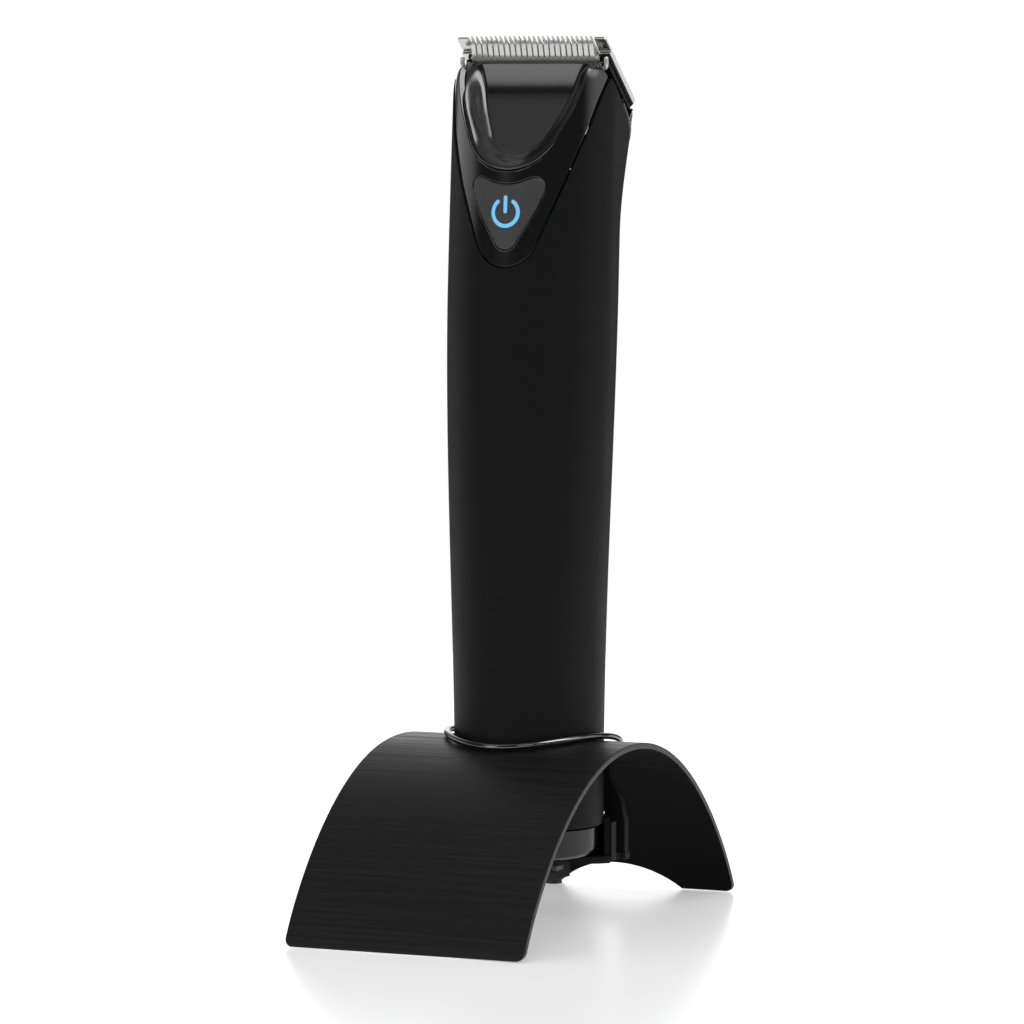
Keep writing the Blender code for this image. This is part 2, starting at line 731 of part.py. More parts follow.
def power_button():
    """Three-lobed button, pierced by the light guide's ring and bar."""
    button = body_shell("power_button", 141, 166, 0.3, 1.7, "satin_black")
    keep(button, prism("button_form", button_outline(), -30, 2, "Y"))
    cut(button, symbol_ring("symbol_ring_window", GAP), symbol_bar("symbol_bar_window", GAP))
    guide = body_shell("symbol_light_guide", 141, 166, 2.3, 0.7, "symbol_blue")
    disc = cylinder("light_guide_disc", (0, -12, 153.2), 4.3, 14, "Y")
    keep(guide, disc)
    for tool in (symbol_ring("guide_ring", 0.0), symbol_bar("guide_bar_form", 0.0)):
        keep(tool, body_shell(tool.name + "_skin", 141, 166, 0.35, 2.3))
        join(guide, tool)
    return button


def symbol_ring(name, margin):
    """Open ring of the power symbol, in (x, z)."""
    centre = (0, 153.2)
    opening = 38 - 5 * margin
    outer = arc(centre, 3.3 + margin, 90 + opening, 450 - opening, 28)
    inner = arc(centre, 2.5 - margin, 450 - opening, 90 + opening, 28)
    return prism(name, outer + inner, -30, 2, "Y")


def symbol_bar(name, margin):
    half = 0.4 + margin
    low = 153.0 - margin
    high = 156.7 + margin
    return prism(name, [(-half, low), (half, low), (half, high), (-half, high)], -30, 2, "Y")


# --- cutting head ---------------------------------------------------------------------------------------


def blade_frame():
    """Turns (x, along, above) of the blades into the model: along runs down to the rear."""
    along = Vector((0, cos(BLADE_TILT), -sin(BLADE_TILT)))
    above = Vector((0, sin(BLADE_TILT), cos(BLADE_TILT)))
    turn = Matrix.Identity(4)
    for row in range(3):
        turn[row][0] = 1.0 if row == 0 else 0.0
        turn[row][1] = along[row]
        turn[row][2] = above[row]
    return Matrix.Translation((0, TIP_Y * MM, TIP_Z * MM)) @ turn


def blade_point(along, above):
    """(y, z) of a point in the blade frame."""
    y = TIP_Y + along * cos(BLADE_TILT) + above * sin(BLADE_TILT)
    z = TIP_Z - along * sin(BLADE_TILT) + above * cos(BLADE_TILT)
    return y, z


def tooth_row(count, tip, root, tip_share=0.3, root_share=0.62):
    """Outline of a row of teeth from +X to -X, in (x, along)."""
    pitch = 2 * TOOTH_ROW_HALF / count
    points = []
    for i in range(count):
        x = TOOTH_ROW_HALF - pitch * (i + 0.5)
        points += [
            (x + pitch * root_share / 2, root),
            (x + pitch * tip_share / 2, tip),
            (x - pitch * tip_share / 2, tip),
            (x - pitch * root_share / 2, root),
        ]
    return points


def fixed_blade():
    """Steel comb plate with a plain wing at each end of its teeth."""
    half = FIXED_WIDTH / 2
    root = 4.6
    side = [
        (half - 1, FIXED_LENGTH),
        (half, FIXED_LENGTH - 1),
        (half, 0.6),
        (half - 0.3, 0.3),
        (TOOTH_ROW_HALF + 0.5, 0.3),
        (TOOTH_ROW_HALF + 0.3, root),
    ]
    outline = side + tooth_row(FIXED_TEETH, 0.0, root) + [(-x, u) for x, u in reversed(side)]
    blade = prism("fixed_blade", outline, -FIXED_THICK, 0, finish="blade_steel", turn=blade_frame())
    thinning = [blade_point(-1, -0.65), blade_point(2.6, -1.5), blade_point(2.6, -5), blade_point(-1, -5)]
    cut(blade, prism("tip_thinning", thinning, -30, 30, "X"))
    for side in (-1, 1):
        hole = cylinder(f"blade_hole_{side}", (side * 8, 16.5, -6), 1.3, 12, sides=12)
        hole.data.transform(blade_frame())
        cut(blade, hole)
    return blade


def moving_blade():
    outline = [(12.4, 5.4), (15.0, 5.4), (15.0, 4.4)] + tooth_row(CUTTER_TEETH, 0.6, 3.9, 0.4, 0.64)
    outline += [(-15.0, 4.4), (-15.0, 5.4), (-12.4, 5.4), (-12.4, 10.2), (12.4, 10.2)]
    blade = prism("moving_blade", outline, CUTTER_BOTTOM, CUTTER_TOP, "Z", "blade_steel", blade_frame())
    tips = [blade_point(-1.0, -2.0), blade_point(3.3, -2.93), blade_point(3.3, -6), blade_point(-1.0, -6)]
    return use_manifold_solver(cut(blade, prism("cutter_tip_thinning", tips, -30, 30, "X")))


def blade_carrier():
    """Black seat under the fixed blade, with a rail down each side of the moving blade."""
    top = -FIXED_THICK - GAP
    side = [(14.2, 10.8), (14.2, 5.8), (16.7, 5.8), (16.7, 21.8)]
    outline = side + [(-x, u) for x, u in reversed(side)]
    carrier = prism("blade_carrier", outline, CUTTER_BOTTOM, top, finish="satin_black", turn=blade_frame())
    seat = rounded([(15.6, 12.9, 1), (15.6, 20.2, 1), (-15.6, 20.2, 1), (-15.6, 12.9, 1)])
    join(carrier, prism("carrier_seat", seat, -4.8, CUTTER_BOTTOM + 0.4, turn=blade_frame()))
    for side in (-1, 1):
        hole = cylinder(f"carrier_hole_{side}", (side * 8, 16.5, -6), 1.3, 12, sides=12)
        hole.data.transform(blade_frame())
        cut(carrier, hole)
        name = f"blade_screw_{side_name(side)}"
        screw = cylinder(name, (side * 8, 16.5, GAP), 2.1, 1.0, finish="screw_steel")
        join(screw, cylinder(f"blade_screw_shank_{side}", (side * 8, 16.5, -4.4), 1.0, 4.9, sides=12))
        for obj in (screw, screw.modifiers[0].object):
            obj.data.transform(blade_frame())
    return carrier


def guide_bar():
    """Polished bar that the moving blade's rear edge runs on."""
    bar = box("guide_bar", (-13.2, 11.5, -4.6), (13.2, 12.6, -3.45), "blade_steel")
    bar.data.transform(blade_frame())
    return bar


def tension_spring():
    """Wire spring across the head that presses the moving blade up, hooked at both ends."""
    half = [(0.0, 6.1, -4.35), (15.6, 6.1, -4.35), (16.7, 5.8, -4.2), (17.0, 5.0, -3.6), (17.0, 4.4, -2.75)]
    points = [(-x, u, w) for x, u, w in reversed(half[1:])] + half
    placed = [(x, *blade_point(u, w)) for x, u, w in points]
    return tube("tension_spring", placed, 0.5, "blade_steel")


def scoop(name):
    """The hollow in the head's face, inside its rim."""
    form = prism(name, head_front_outline(2.4), -30, 30, "Y")
    side = [(9.0, 190.0), (8.3, 185.6), (7.6, 182.5), (6.9, 179.5), (5.6, 176.3), (3.4, 172.2),
            (0.8, 168.2), (-2.0, 165.4), (-5.0, 164.2), (-20.0, 164.0), (-20.0, 190.0)]
    return keep(form, prism(name + "_side", side, -30, 30, "X"))


def head_shell():
    """Detachable head: rounded V in front with a scooped face, full-width block behind."""
    lip = [blade_point(4.45, -3.2), blade_point(5.2, -3.2)]
    pocket = [blade_point(5.2, -5.2), blade_point(22.6, -5.2)]
    front_side = head_face() + [(12.0, 182.3), (12.0, 166.2), (8.0, 164.6)]
    shell = prism("head_shell", head_front_outline(), -30, 12.0, "Y", "gloss_black")
    keep(shell, prism("head_side", front_side, -30, 30, "X"))
    rear_side = rounded([
        (*blade_point(7.0, -3.0), 0.0),
        (*blade_point(22.6, -1.5), 0.0),
        (26.6, 174.4, 2.0),
        (27.0, 170.3, 0.5),
        (20.0, 171.9, 8.0),
        (16.8, 174.2, 8.0),
        (12.2, 178.7, 0.0),
        (11.3, 179.6, 0.0),
        (11.3, 182.5, 0.0),
    ])
    rear = body_solid("head_rear", 165, BODY_TOP, -0.1)
    keep(rear, prism("head_rear_side", rear_side, -17.2, 17.2, "X"))
    join(shell, rear)
    shelf = [blade_point(22.6, -1.2), blade_point(30, -1.2)]
    above = [blade_point(4.45, 20), *lip, *pocket, *shelf, blade_point(30, 20)]
    cut(shell, prism("head_deck", above, -30, 30, "X"))
    cut(shell, scoop("head_scoop"))
    hollow = [
        (11.0, 160.0),
        (22.5, 160.0),
        (23.0, 172.0),
        (14.5, 177.0),
        (11.0, 180.0),
        (9.8, 180.6),
        (8.8, 176.5),
        (5.2, 172.0),
        (2.4, 168.6),
        (1.0, 167.4),
        (1.0, 160.0),
    ]
    cut(shell, prism("head_hollow", hollow, -8.6, 8.6, "X"))
    cut(shell, box("yoke_slot", (-3.9, 10.0, 155), (3.9, 13.5, 195)))
    return shell


def drive_yoke():
    """Fork over the eccentric pin, with a stem up to the moving blade."""
    low, high = MOTOR_Y - 2.6, MOTOR_Y + 2.6
    yoke = box("drive_yoke", (-4.9, low, 158.6), (4.9, high, 166.6), "satin_black")
    reach = 1.0 + 2 * CUTTER_THROW + 0.1
    cut(yoke, box("yoke_fork_gap", (-reach, low - 2, 150), (reach, high + 2, 164.6)))
    stem = box("yoke_stem", (-2.2, 10.4, 166.0), (2.2, 13.1, TIP_Z - 9.1))
    return join(yoke, stem)


# --- build ------------------------------------------------------------------------------------------------


def build():
    stand_arch()
    mouth_ring()
    dock_bracket()
    dock_electrics()
    body_sleeve()
    front_housing()
    rear_housing()
    chassis_half("chassis_front", -30, AXIS_Y - GAP / 2)
    chassis_half("chassis_rear", AXIS_Y + GAP / 2, 40)
    end_cap()
    cap_seal()
    power_train()
    control_board()
    power_button()
    fixed_blade()
    moving_blade()
    blade_carrier()
    guide_bar()
    tension_spring()
    head_shell()
    drive_yoke()


clear_scene()
PIECES = make_collection("body_groomer")
CUTTERS = make_collection("cutters")
build()
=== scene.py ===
"""Body groomer standing in its charging stand: the finished surfaces and materials."""

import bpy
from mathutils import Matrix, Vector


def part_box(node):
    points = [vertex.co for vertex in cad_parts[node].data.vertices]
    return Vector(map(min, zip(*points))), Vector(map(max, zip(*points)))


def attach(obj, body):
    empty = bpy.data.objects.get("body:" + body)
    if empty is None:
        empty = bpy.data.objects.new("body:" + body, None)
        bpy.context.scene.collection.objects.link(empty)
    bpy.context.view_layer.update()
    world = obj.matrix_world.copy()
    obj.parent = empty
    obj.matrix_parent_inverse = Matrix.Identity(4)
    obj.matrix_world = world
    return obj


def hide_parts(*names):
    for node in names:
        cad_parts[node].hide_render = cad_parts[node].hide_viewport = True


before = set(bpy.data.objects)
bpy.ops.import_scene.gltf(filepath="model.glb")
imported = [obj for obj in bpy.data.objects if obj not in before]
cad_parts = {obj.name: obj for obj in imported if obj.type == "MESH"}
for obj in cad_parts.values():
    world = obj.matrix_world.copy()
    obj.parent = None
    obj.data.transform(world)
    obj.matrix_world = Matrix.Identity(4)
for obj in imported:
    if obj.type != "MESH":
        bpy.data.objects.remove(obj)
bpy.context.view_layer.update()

from math import acos, atan2, cos, pi, radians, sin, sqrt, tan

import bmesh
import bpy
from bpy.props import FloatProperty, FloatVectorProperty, IntProperty, PointerProperty
from mathutils import Matrix, Vector

bl_info = {
    "name": "Body groomer",
    "version": (1, 0, 0),
    "blender": (4, 5, 0),
    "location": "View3D > Sidebar > Groomer",
    "description": "Builds the finished surfaces of a body groomer and its charging stand",
    "category": "Object",
}

MM = 0.001


def box_mm(node):
    """Lowest and highest corner of a node of the frame, in millimetres."""
    low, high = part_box(node)
    return low / MM, high / MM


STAND_HIGH = box_mm("stand_arch")[1]
SLEEVE_LOW, SLEEVE_HIGH = box_mm("body_sleeve")
CAP_FOOT = box_mm("end_cap")[0].z
BLADE_HIGH = box_mm("fixed_blade")[1]

# Body form, in millimetres above the floor and behind the stand's centre.
AXIS_Y = 6.2
LEAN, LEAN_FROM, LEAN_RUN = 3.05, 62, 92
LOWER_HALF_X = 16.2
UPPER_HALF_X = SLEEVE_HIGH.x
BODY_DEPTH = 16
HOUSING_INSET = 0.4
HOUSING_WALL = 0.0014
SLEEVE_WALL = 0.0012
BUTTON_WALL = 0.0015
BUTTON_GAP = 0.22
BUTTON_INSET = 0.3
PRINT_RISE = 0.04
HEAD_TOP = 185.4

# Blades, in their own frame: above their upper face, and along it from the comb's tips to the rear.
TIP_Y = 7.3
TIP_Z = BLADE_HIGH.z
BLADE_TILT = radians(39.6)
FIXED_THICK = 1.35
TOOTH_ROW_HALF = 14.6
CUTTER_TOP = -1.65
CUTTER_BOTTOM = -2.75
CUTTER_HALF_X = 15.0
COMB_LIP = 0.6
LIP_DEPTH = 4.4
LAP = 0.01
SCREW_X = 8.0
SCREW_ALONG = 16.5
DECK = -5.2
DECK_END = 22.6

# Stand: the two powers of its curve, and the ellipse of its mouth.
ARCH_ROUND = 2.079
ARCH_SHOULDER = 1.175
MOUTH_Y = 8.93
MOUTH_HALF_X = 17.5
MOUTH_HALF_Y = 21.4

# Soft patches that reflections see: turn from +X and rise in degrees, level, and the radii between
# which each fades out.
ROOM_LEVEL = 0.06
PATCHES = [
    (114.0, 7.0, 1.1, 9.0, 20.0),
    (176.0, -3.0, 0.62, 6.0, 36.0),
    (244.0, 20.0, 2.0, 3.0, 14.0),
    (235.0, 56.0, 0.32, 8.0, 18.0),
    (18.0, 8.0, 0.8, 6.0, 36.0),
    (-14.0, 50.0, 5.2, 5.0, 22.0),
    (66.0, -4.0, 1.0, 4.0, 13.0),
    (120.0, 32.0, 0.75, 8.0, 30.0),
    (4.0, 33.0, 1.6, 5.0, 18.0),
]

FLOOR_RADIUS = 0.6
FLOOR_GAP = 0.0002

# View of the whole: turn about the vertical, look down, range and aim.
CAMERA_TURN = radians(24.1)
CAMERA_PITCH = radians(4.177)
CAMERA_RANGE = 1.25098
CAMERA_AIM = (-0.00113, 0.088387)
CAMERA_LENS = 203.5


# --- values that a user would change ---


class GroomerSizes(bpy.types.PropertyGroup):
    """Sizes of the finished surfaces, in metres."""

    sheet: FloatProperty(
        name="Sheet", description="Thickness of the stand's sheet", default=0.0013, unit="LENGTH")
    wire: FloatProperty(
        name="Wire", description="Radius of the mouth ring's wire", default=0.0007, unit="LENGTH")
    seam: FloatProperty(
        name="Seam", description="Gap between two housings", default=0.0002, unit="LENGTH")
    edge: FloatProperty(
        name="Edge", description="Rounding of the housings' edges", default=0.00018, unit="LENGTH")
    rim: FloatProperty(
        name="Rim", description="Width of the rim round the head's scoop", default=0.0009, unit="LENGTH")
    slope: FloatProperty(
        name="Slope", description="Width of the slope from that rim down into the scoop", default=0.0034,
        unit="LENGTH")
    fixed_teeth: IntProperty(
        name="Fixed teeth", description="Teeth of the fixed blade", default=26)
    cutter_teeth: IntProperty(
        name="Cutter teeth", description="Teeth of the moving blade", default=22)


class GroomerColours(bpy.types.PropertyGroup):
    """Base colours of the finishes."""

    coat: FloatVectorProperty(
        name="Coat", description="Matte coat of the sleeve and the stand", subtype="COLOR",
        default=(0.0054, 0.0054, 0.0056))
    gloss: FloatVectorProperty(
        name="Gloss", description="Polished housings", subtype="COLOR", default=(0.0016, 0.0016, 0.0017))
    button: FloatVectorProperty(
        name="Button", description="Satin power button", subtype="COLOR", default=(0.036, 0.036, 0.037))
    steel: FloatVectorProperty(
        name="Steel", description="Ground blades", subtype="COLOR", default=(0.68, 0.675, 0.67))
    ring: FloatVectorProperty(
        name="Ring", description="Dark chrome ring", subtype="COLOR", default=(0.2, 0.2, 0.21))
    glow: FloatVectorProperty(
        name="Glow", description="Lit power symbol", subtype="COLOR", default=(0.17, 0.6, 0.95))


def sizes():
    return bpy.context.scene.groomer_sizes


def colours():
    return bpy.context.scene.groomer_colours


# --- outlines ---


def smooth(t):
    t = max(0.0, min(1.0, t))
    return t * t * (3 - 2 * t)


def rounded(corners, steps=16):
    """An outline from (x, y, radius) corners, each rounded by its radius."""
    points = []
    count = len(corners)
    for i, (x, y, radius) in enumerate(corners):
        if radius == 0:
            points.append((x, y))
            continue
        here = Vector((x, y))
        to_last = (Vector(corners[i - 1][:2]) - here).normalized()
        to_next = (Vector(corners[(i + 1) % count][:2]) - here).normalized()
        half = acos(max(-1.0, min(1.0, to_last.dot(to_next)))) / 2
        middle = here + (to_last + to_next).normalized() * radius / sin(half)
        first = here + to_last * radius / tan(half) - middle
        last = here + to_next * radius / tan(half) - middle
        begin = atan2(first.y, first.x)
        sweep = (atan2(last.y, last.x) - begin + pi) % (2 * pi) - pi
        for step in range(steps + 1):
            angle = begin + sweep * step / steps
            points.append((middle.x + radius * cos(angle), middle.y + radius * sin(angle)))
    return points


def mirrored(half):
    """A half outline, from its middle or its right side on, with its other half."""
    return half + [(-x, *rest) for x, *rest in reversed(half) if x > 1e-9]


FINE = 128


def right_half(corners, steps=FINE):
    """The +X half of a rounded V, from the middle of its foot up."""
    points = rounded(mirrored(corners), steps)
    high = max(range(len(points)), key=lambda i: (points[i][1], points[i][0]))
    half = points[steps // 2:high + 1]
    return [(max(0.0, half[0][0]) if i == 0 else x, z) for i, (x, z) in enumerate(half)]


def lookup(points, value):
    """Second coordinate of a polyline where its rising first coordinate has this value."""
    if value <= points[0][0]:
        return points[0][1]
    for (a, b), (c, d) in zip(points, points[1:]):
        if value <= c:
            return b + (d - b) * (value - a) / max(c - a, 1e-9)
    return points[-1][1]


def cut_at_height(points, z):
    """The part of a rising polyline below height z, ending on it."""
    below = [p for p in points if p[1] < z]
    above = next((p for p in points if p[1] >= z), None)
    if above is None:
        return below
    last = below[-1]
    share = (z - last[1]) / (above[1] - last[1])
    return below + [(last[0] + (above[0] - last[0]) * share, z)]


def from_height(points, z):
    """The part of a rising polyline above height z, starting on it."""
    start = cut_at_height(points, z)[-1]
    return [start] + [p for p in points if p[1] > z + 1e-6]


def spread(points, count):
    """The polyline again, as count points at even distances."""
    path = [Vector(p) for p in points]
    lengths = [0.0]
    for a, b in zip(path, path[1:]):
        lengths.append(lengths[-1] + (b - a).length)
    made = []
    at = 0
    for i in range(count):
        want = lengths[-1] * i / (count - 1)
        while at < len(path) - 2 and lengths[at + 1] < want:
            at += 1
        run = lengths[at + 1] - lengths[at]
        made.append(path[at].lerp(path[at + 1], (want - lengths[at]) / run if run > 0 else 0.0))
    return made


# --- the groomer's body form ---


def body_centre(z):
    """The body leans back towards its head."""
    return AXIS_Y + LEAN * (max(0.0, z - LEAN_FROM) / LEAN_RUN) ** 2


def body_half_x(z):
    return LOWER_HALF_X + (UPPER_HALF_X - LOWER_HALF_X) * smooth((z - 28) / 110)


def body_point(turn, z, inset=0.0):
    """Point on the body's skin: turn 0 faces +X, and a quarter turn on from it the rear."""
    c, s = cos(turn), sin(turn)
    half_x = body_half_x(z) - inset
    if s <= 0:
        depth = BODY_DEPTH - 0.2 * smooth((z - 130) / 30) - inset
        return Vector((half_x * c, body_centre(z) + depth * s, z))
    depth = BODY_DEPTH - 0.5 * smooth((z - 130) / 40) - inset
    power = 2 / (2.1 + 2.6 * (max(0.0, z - 148) / 28) ** 2)
    side = 1 if c > 0 else -1
    return Vector((side * half_x * abs(c) ** power, body_centre(z) + depth * s ** power, z))


def front_turn(x, z, inset=0.0):
    """Turn at which the front of the body has this x."""
    return -acos(max(-1.0, min(1.0, x / (body_half_x(z) - inset))))


def skin_point(x, z, inset=0.0):
    """Point on the front of the body above (x, z)."""
    return body_point(front_turn(x, z, inset), z, inset)


def sleeve_v(margin=0.0):
    """The right half of the V in the sleeve's front, in (x, z)."""
    return right_half([
        (0.0, 127.9 + 2.6 * margin, 7.76 - margin),
        (12.5 - margin, 159.7, 40.0),
        (16.0 - margin, 170.5, 40.0),
        (18.7 - margin, 182.5, 20.0),
        (20.5 - margin, 200.0, 0.0),
    ], FINE)


def sleeve_rear(margin=0.0):
    """The sleeve's upper edge behind, in (y, z)."""
    return rounded([
        (4.0, 186.7 + margin, 0.0),
        (12.0, 178.2 + margin, 30.0),
        (17.0, 173.0 + margin, 20.0),
        (21.5, 165.5 + margin, 20.0),
        (29.0, 158.5 + margin, 0.0),
    ])


def housing_top():
    """Upper edge of the rear housing, under the head, in (y, z)."""
    return rounded([
        (4.0, 187.4, 0.0),
        (10.6, 180.2, 8.0),
        (16.6, 173.6, 8.0),
        (20.0, 171.3, 8.0),
        (27.0, 169.6, 12.0),
        (40.0, 168.8, 0.0),
    ])


def height_where(limit, turn, low=140.0, high=200.0, halvings=34):
    """Height at which a column of the skin meets an edge, by halving."""
    for _ in range(halvings):
        middle = (low + high) / 2
        if middle < limit(turn, middle):
            low = middle
        else:
            high = middle
    return (low + high) / 2


def edge_finder(v_points, rear_points):
    """Height of the sleeve's edge at a turn, for given outlines in front and behind."""
    def front_limit(turn, z):
        return lookup(v_points, abs(body_point(turn, z).x))

    def rear_limit(turn, z):
        return lookup(rear_points, body_point(turn, z).y)

    def height(turn):
        found = height_where(rear_limit, turn)
        if turn < 0:
            found = min(found, height_where(front_limit, turn))
        return found
    return height


def even_turns(height, count, start=-pi / 2, stop=pi / 2, samples=360):
    """Turns at even distances along an edge."""
    fine = []
    for i in range(samples + 1):
        turn = start + (stop - start) * i / samples
        fine.append((turn, body_point(turn, height(turn))))
    lengths = [0.0]
    for (_, a), (_, b) in zip(fine, fine[1:]):
        lengths.append(lengths[-1] + (b - a).length)
    pairs = [(length, turn) for length, (turn, _) in zip(lengths, fine)]
    return [lookup(pairs, lengths[-1] * i / (count - 1)) for i in range(count)]


# --- meshes ---


def flip(point):
    return Vector((-point[0], point[1], point[2]))


class Skin:
    """Strips of quads that are joined into one mesh, in millimetres."""

    def __init__(self):
        self.bm = bmesh.new()

    def strip(self, rows, cyclic=False, mirror=False):
        for used in ([rows, [[flip(p) for p in row] for row in rows]] if mirror else [rows]):
            made = [[self.bm.verts.new(Vector(p) * MM) for p in row] for row in used]
            turned = used is not rows
            for low, high in zip(made, made[1:]):
                count = len(low)
                for i in range(count if cyclic else count - 1):
                    j = (i + 1) % count
                    quad = (low[i], low[j], high[j], high[i])
                    self.bm.faces.new(tuple(reversed(quad)) if turned else quad)
        return self

    def cap(self, ring):
        self.bm.faces.new([self.bm.verts.new(Vector(p) * MM) for p in ring])
        return self

    def closed(self, rings):
        """A tube of rings with both its ends filled."""
        return self.strip(rings, cyclic=True).cap(rings[0]).cap(rings[-1])

    def mesh(self, name, away_from=None):
        """Joins the strips, turns the faces outwards and returns the mesh."""
        bmesh.ops.remove_doubles(self.bm, verts=self.bm.verts, dist=1e-6)
        loose = [f for f in self.bm.faces if f.calc_area() < 1e-14]
        bmesh.ops.delete(self.bm, geom=loose, context="FACES")
        bmesh.ops.recalc_face_normals(self.bm, faces=self.bm.faces)
        if away_from is not None:
            centre = Vector(away_from) * MM
            facing = sum((f.calc_center_median() - centre).dot(f.normal) * f.calc_area() for f in self.bm.faces)
            if facing < 0:
                bmesh.ops.reverse_faces(self.bm, faces=self.bm.faces)
        mesh = bpy.data.meshes.new(name)
        self.bm.to_mesh(mesh)
        self.bm.free()
        return mesh


def place(name, mesh, finish_name, body, replaces=()):
    """Makes a smooth-shaded piece of a mesh with its finish, hangs it on its body's empty and hides the nodes that
    it replaces.
    """
    piece = bpy.data.objects.new(name, mesh)
    bpy.context.scene.collection.objects.link(piece)
    mesh.shade_smooth()
    mesh.materials.append(finish(finish_name))
    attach(piece, body)
    if replaces:
        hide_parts(*replaces)
    return piece


def thicken(piece, thickness, rim_material=0, inner_material=0):
    solidify = piece.modifiers.new("Solidify", "SOLIDIFY")
    solidify.thickness = thickness
    solidify.offset = -1
    solidify.use_even_offset = True
    solidify.material_offset_rim = rim_material
    solidify.material_offset = inner_material
    return solidify


def soften(piece, width, segments=3, angle=38):
    """Rounds the sharp edges and keeps the large faces' shading true."""
    bevel = piece.modifiers.new("Bevel", "BEVEL")
    bevel.width = width
    bevel.segments = segments
    bevel.limit_method = "ANGLE"
    bevel.angle_limit = radians(angle)
    bevel.use_clamp_overlap = False
    bevel.miter_outer = "MITER_ARC"
    normals = piece.modifiers.new("Weighted normals", "WEIGHTED_NORMAL")
    normals.keep_sharp = True
    normals.weight = 50


def cut(piece, *helpers, operation="DIFFERENCE"):
    for helper in helpers:
        boolean = piece.modifiers.new(helper.name, "BOOLEAN")
        boolean.operation = operation
        boolean.object = helper
        boolean.solver = "MANIFOLD"


def apply_modifiers(piece):
    """Fixes what the modifiers have made, so that their tools can go."""
    graph = bpy.context.evaluated_depsgraph_get()
    mesh = bpy.data.meshes.new_from_object(piece.evaluated_get(graph), depsgraph=graph)
    helpers = [m.object for m in piece.modifiers if m.type == "BOOLEAN"]
    piece.modifiers.clear()
    piece.data = mesh
    for helper in helpers:
        bpy.data.objects.remove(helper)


def tool(name, mesh):
    """A helper object for a Boolean."""
    helper = bpy.data.objects.new(name, mesh)
    bpy.context.scene.collection.objects.link(helper)
    helper.hide_render = True
    return helper


PRISM_AXES = {
    "Z": Matrix.Identity(4),
    "Y": Matrix(((1, 0, 0, 0), (0, 0, 1, 0), (0, 1, 0, 0), (0, 0, 0, 1))),
    "X": Matrix(((0, 0, 1, 0), (1, 0, 0, 0), (0, 1, 0, 0), (0, 0, 0, 1))),
}


def prism_mesh(name, outline, low, high, axis="Z", turn=None):
    """An outline raised from low to high along an axis: (x, z) for Y and (y, z) for X."""
    bm = bmesh.new()
    ring = [bm.verts.new((u, v, low)) for u, v in outline]
    face = bm.faces.new(ring)
    raised = bmesh.ops.extrude_face_region(bm, geom=[face])["geom"]
    bmesh.ops.translate(bm, vec=(0, 0, high - low), verts=[g for g in raised if isinstance(g, bmesh.types.BMVert)])
    bmesh.ops.transform(bm, matrix=PRISM_AXES[axis] if turn is None else turn, verts=bm.verts)
    bmesh.ops.scale(bm, vec=(MM, MM, MM), verts=bm.verts)
    bmesh.ops.recalc_face_normals(bm, faces=bm.faces)
    mesh = bpy.data.meshes.new(name)
    bm.to_mesh(mesh)
    bm.free()
    return mesh


def prism_tool(name, *form, **direction):
    """A prism as a helper object."""
    return tool(name, prism_mesh(name, *form, **direction))


def rectangle(centre, half_width, half_height):
    x, y = centre
    return [(x - half_width, y - half_height), (x + half_width, y - half_height),
            (x + half_width, y + half_height), (x - half_width, y + half_height)]


def circle(centre, radius, sides=64):
    return [(centre[0] + radius * cos(2 * pi * i / sides), centre[1] + radius * sin(2 * pi * i / sides))
            for i in range(sides)]


def tube_mesh(name, path, radius, sides=20, cyclic=False):
    """A round wire along a path, with domed ends if it is open."""
    path = [Vector(p) for p in path]
    count = len(path)
    rings = []
    across = None
    for i, here in enumerate(path):
        if cyclic:
            ahead = path[(i + 1) % count] - path[i - 1]
        else:
            ahead = path[min(i + 1, count - 1)] - path[max(i - 1, 0)]
        ahead.normalize()
        if across is None:
            across = ahead.orthogonal().normalized()
        across = (across - ahead * across.dot(ahead)).normalized()
        other = ahead.cross(across)
        rings.append([here + (across * cos(a) + other * sin(a)) * radius
                      for a in (2 * pi * k / sides for k in range(sides))])
    skin = Skin()
    if cyclic:
        skin.strip(rings + rings[:1], cyclic=True)
        return skin.mesh(name)
    for end, before in ((0, 1), (-1, -2)):
        ahead = (path[end] - path[before]).normalized()
        dome = [[path[end] + (p - path[end]) * cos(a) + ahead * radius * sin(a) for p in rings[end]]
                for a in (radians(d) for d in (0, 30, 60, 85))]
        skin.strip(dome, cyclic=True)
        skin.cap(dome[-1])
    skin.strip(rings, cyclic=True)
    return skin.mesh(name)


def turned_mesh(name, profile, sides=48):
    """A turned form from (radius, height) points, standing on Z."""
    return Skin().closed([[(x, y, z) for x, y in circle((0, 0), r, sides)] for r, z in profile]).mesh(name)


# --- materials ---


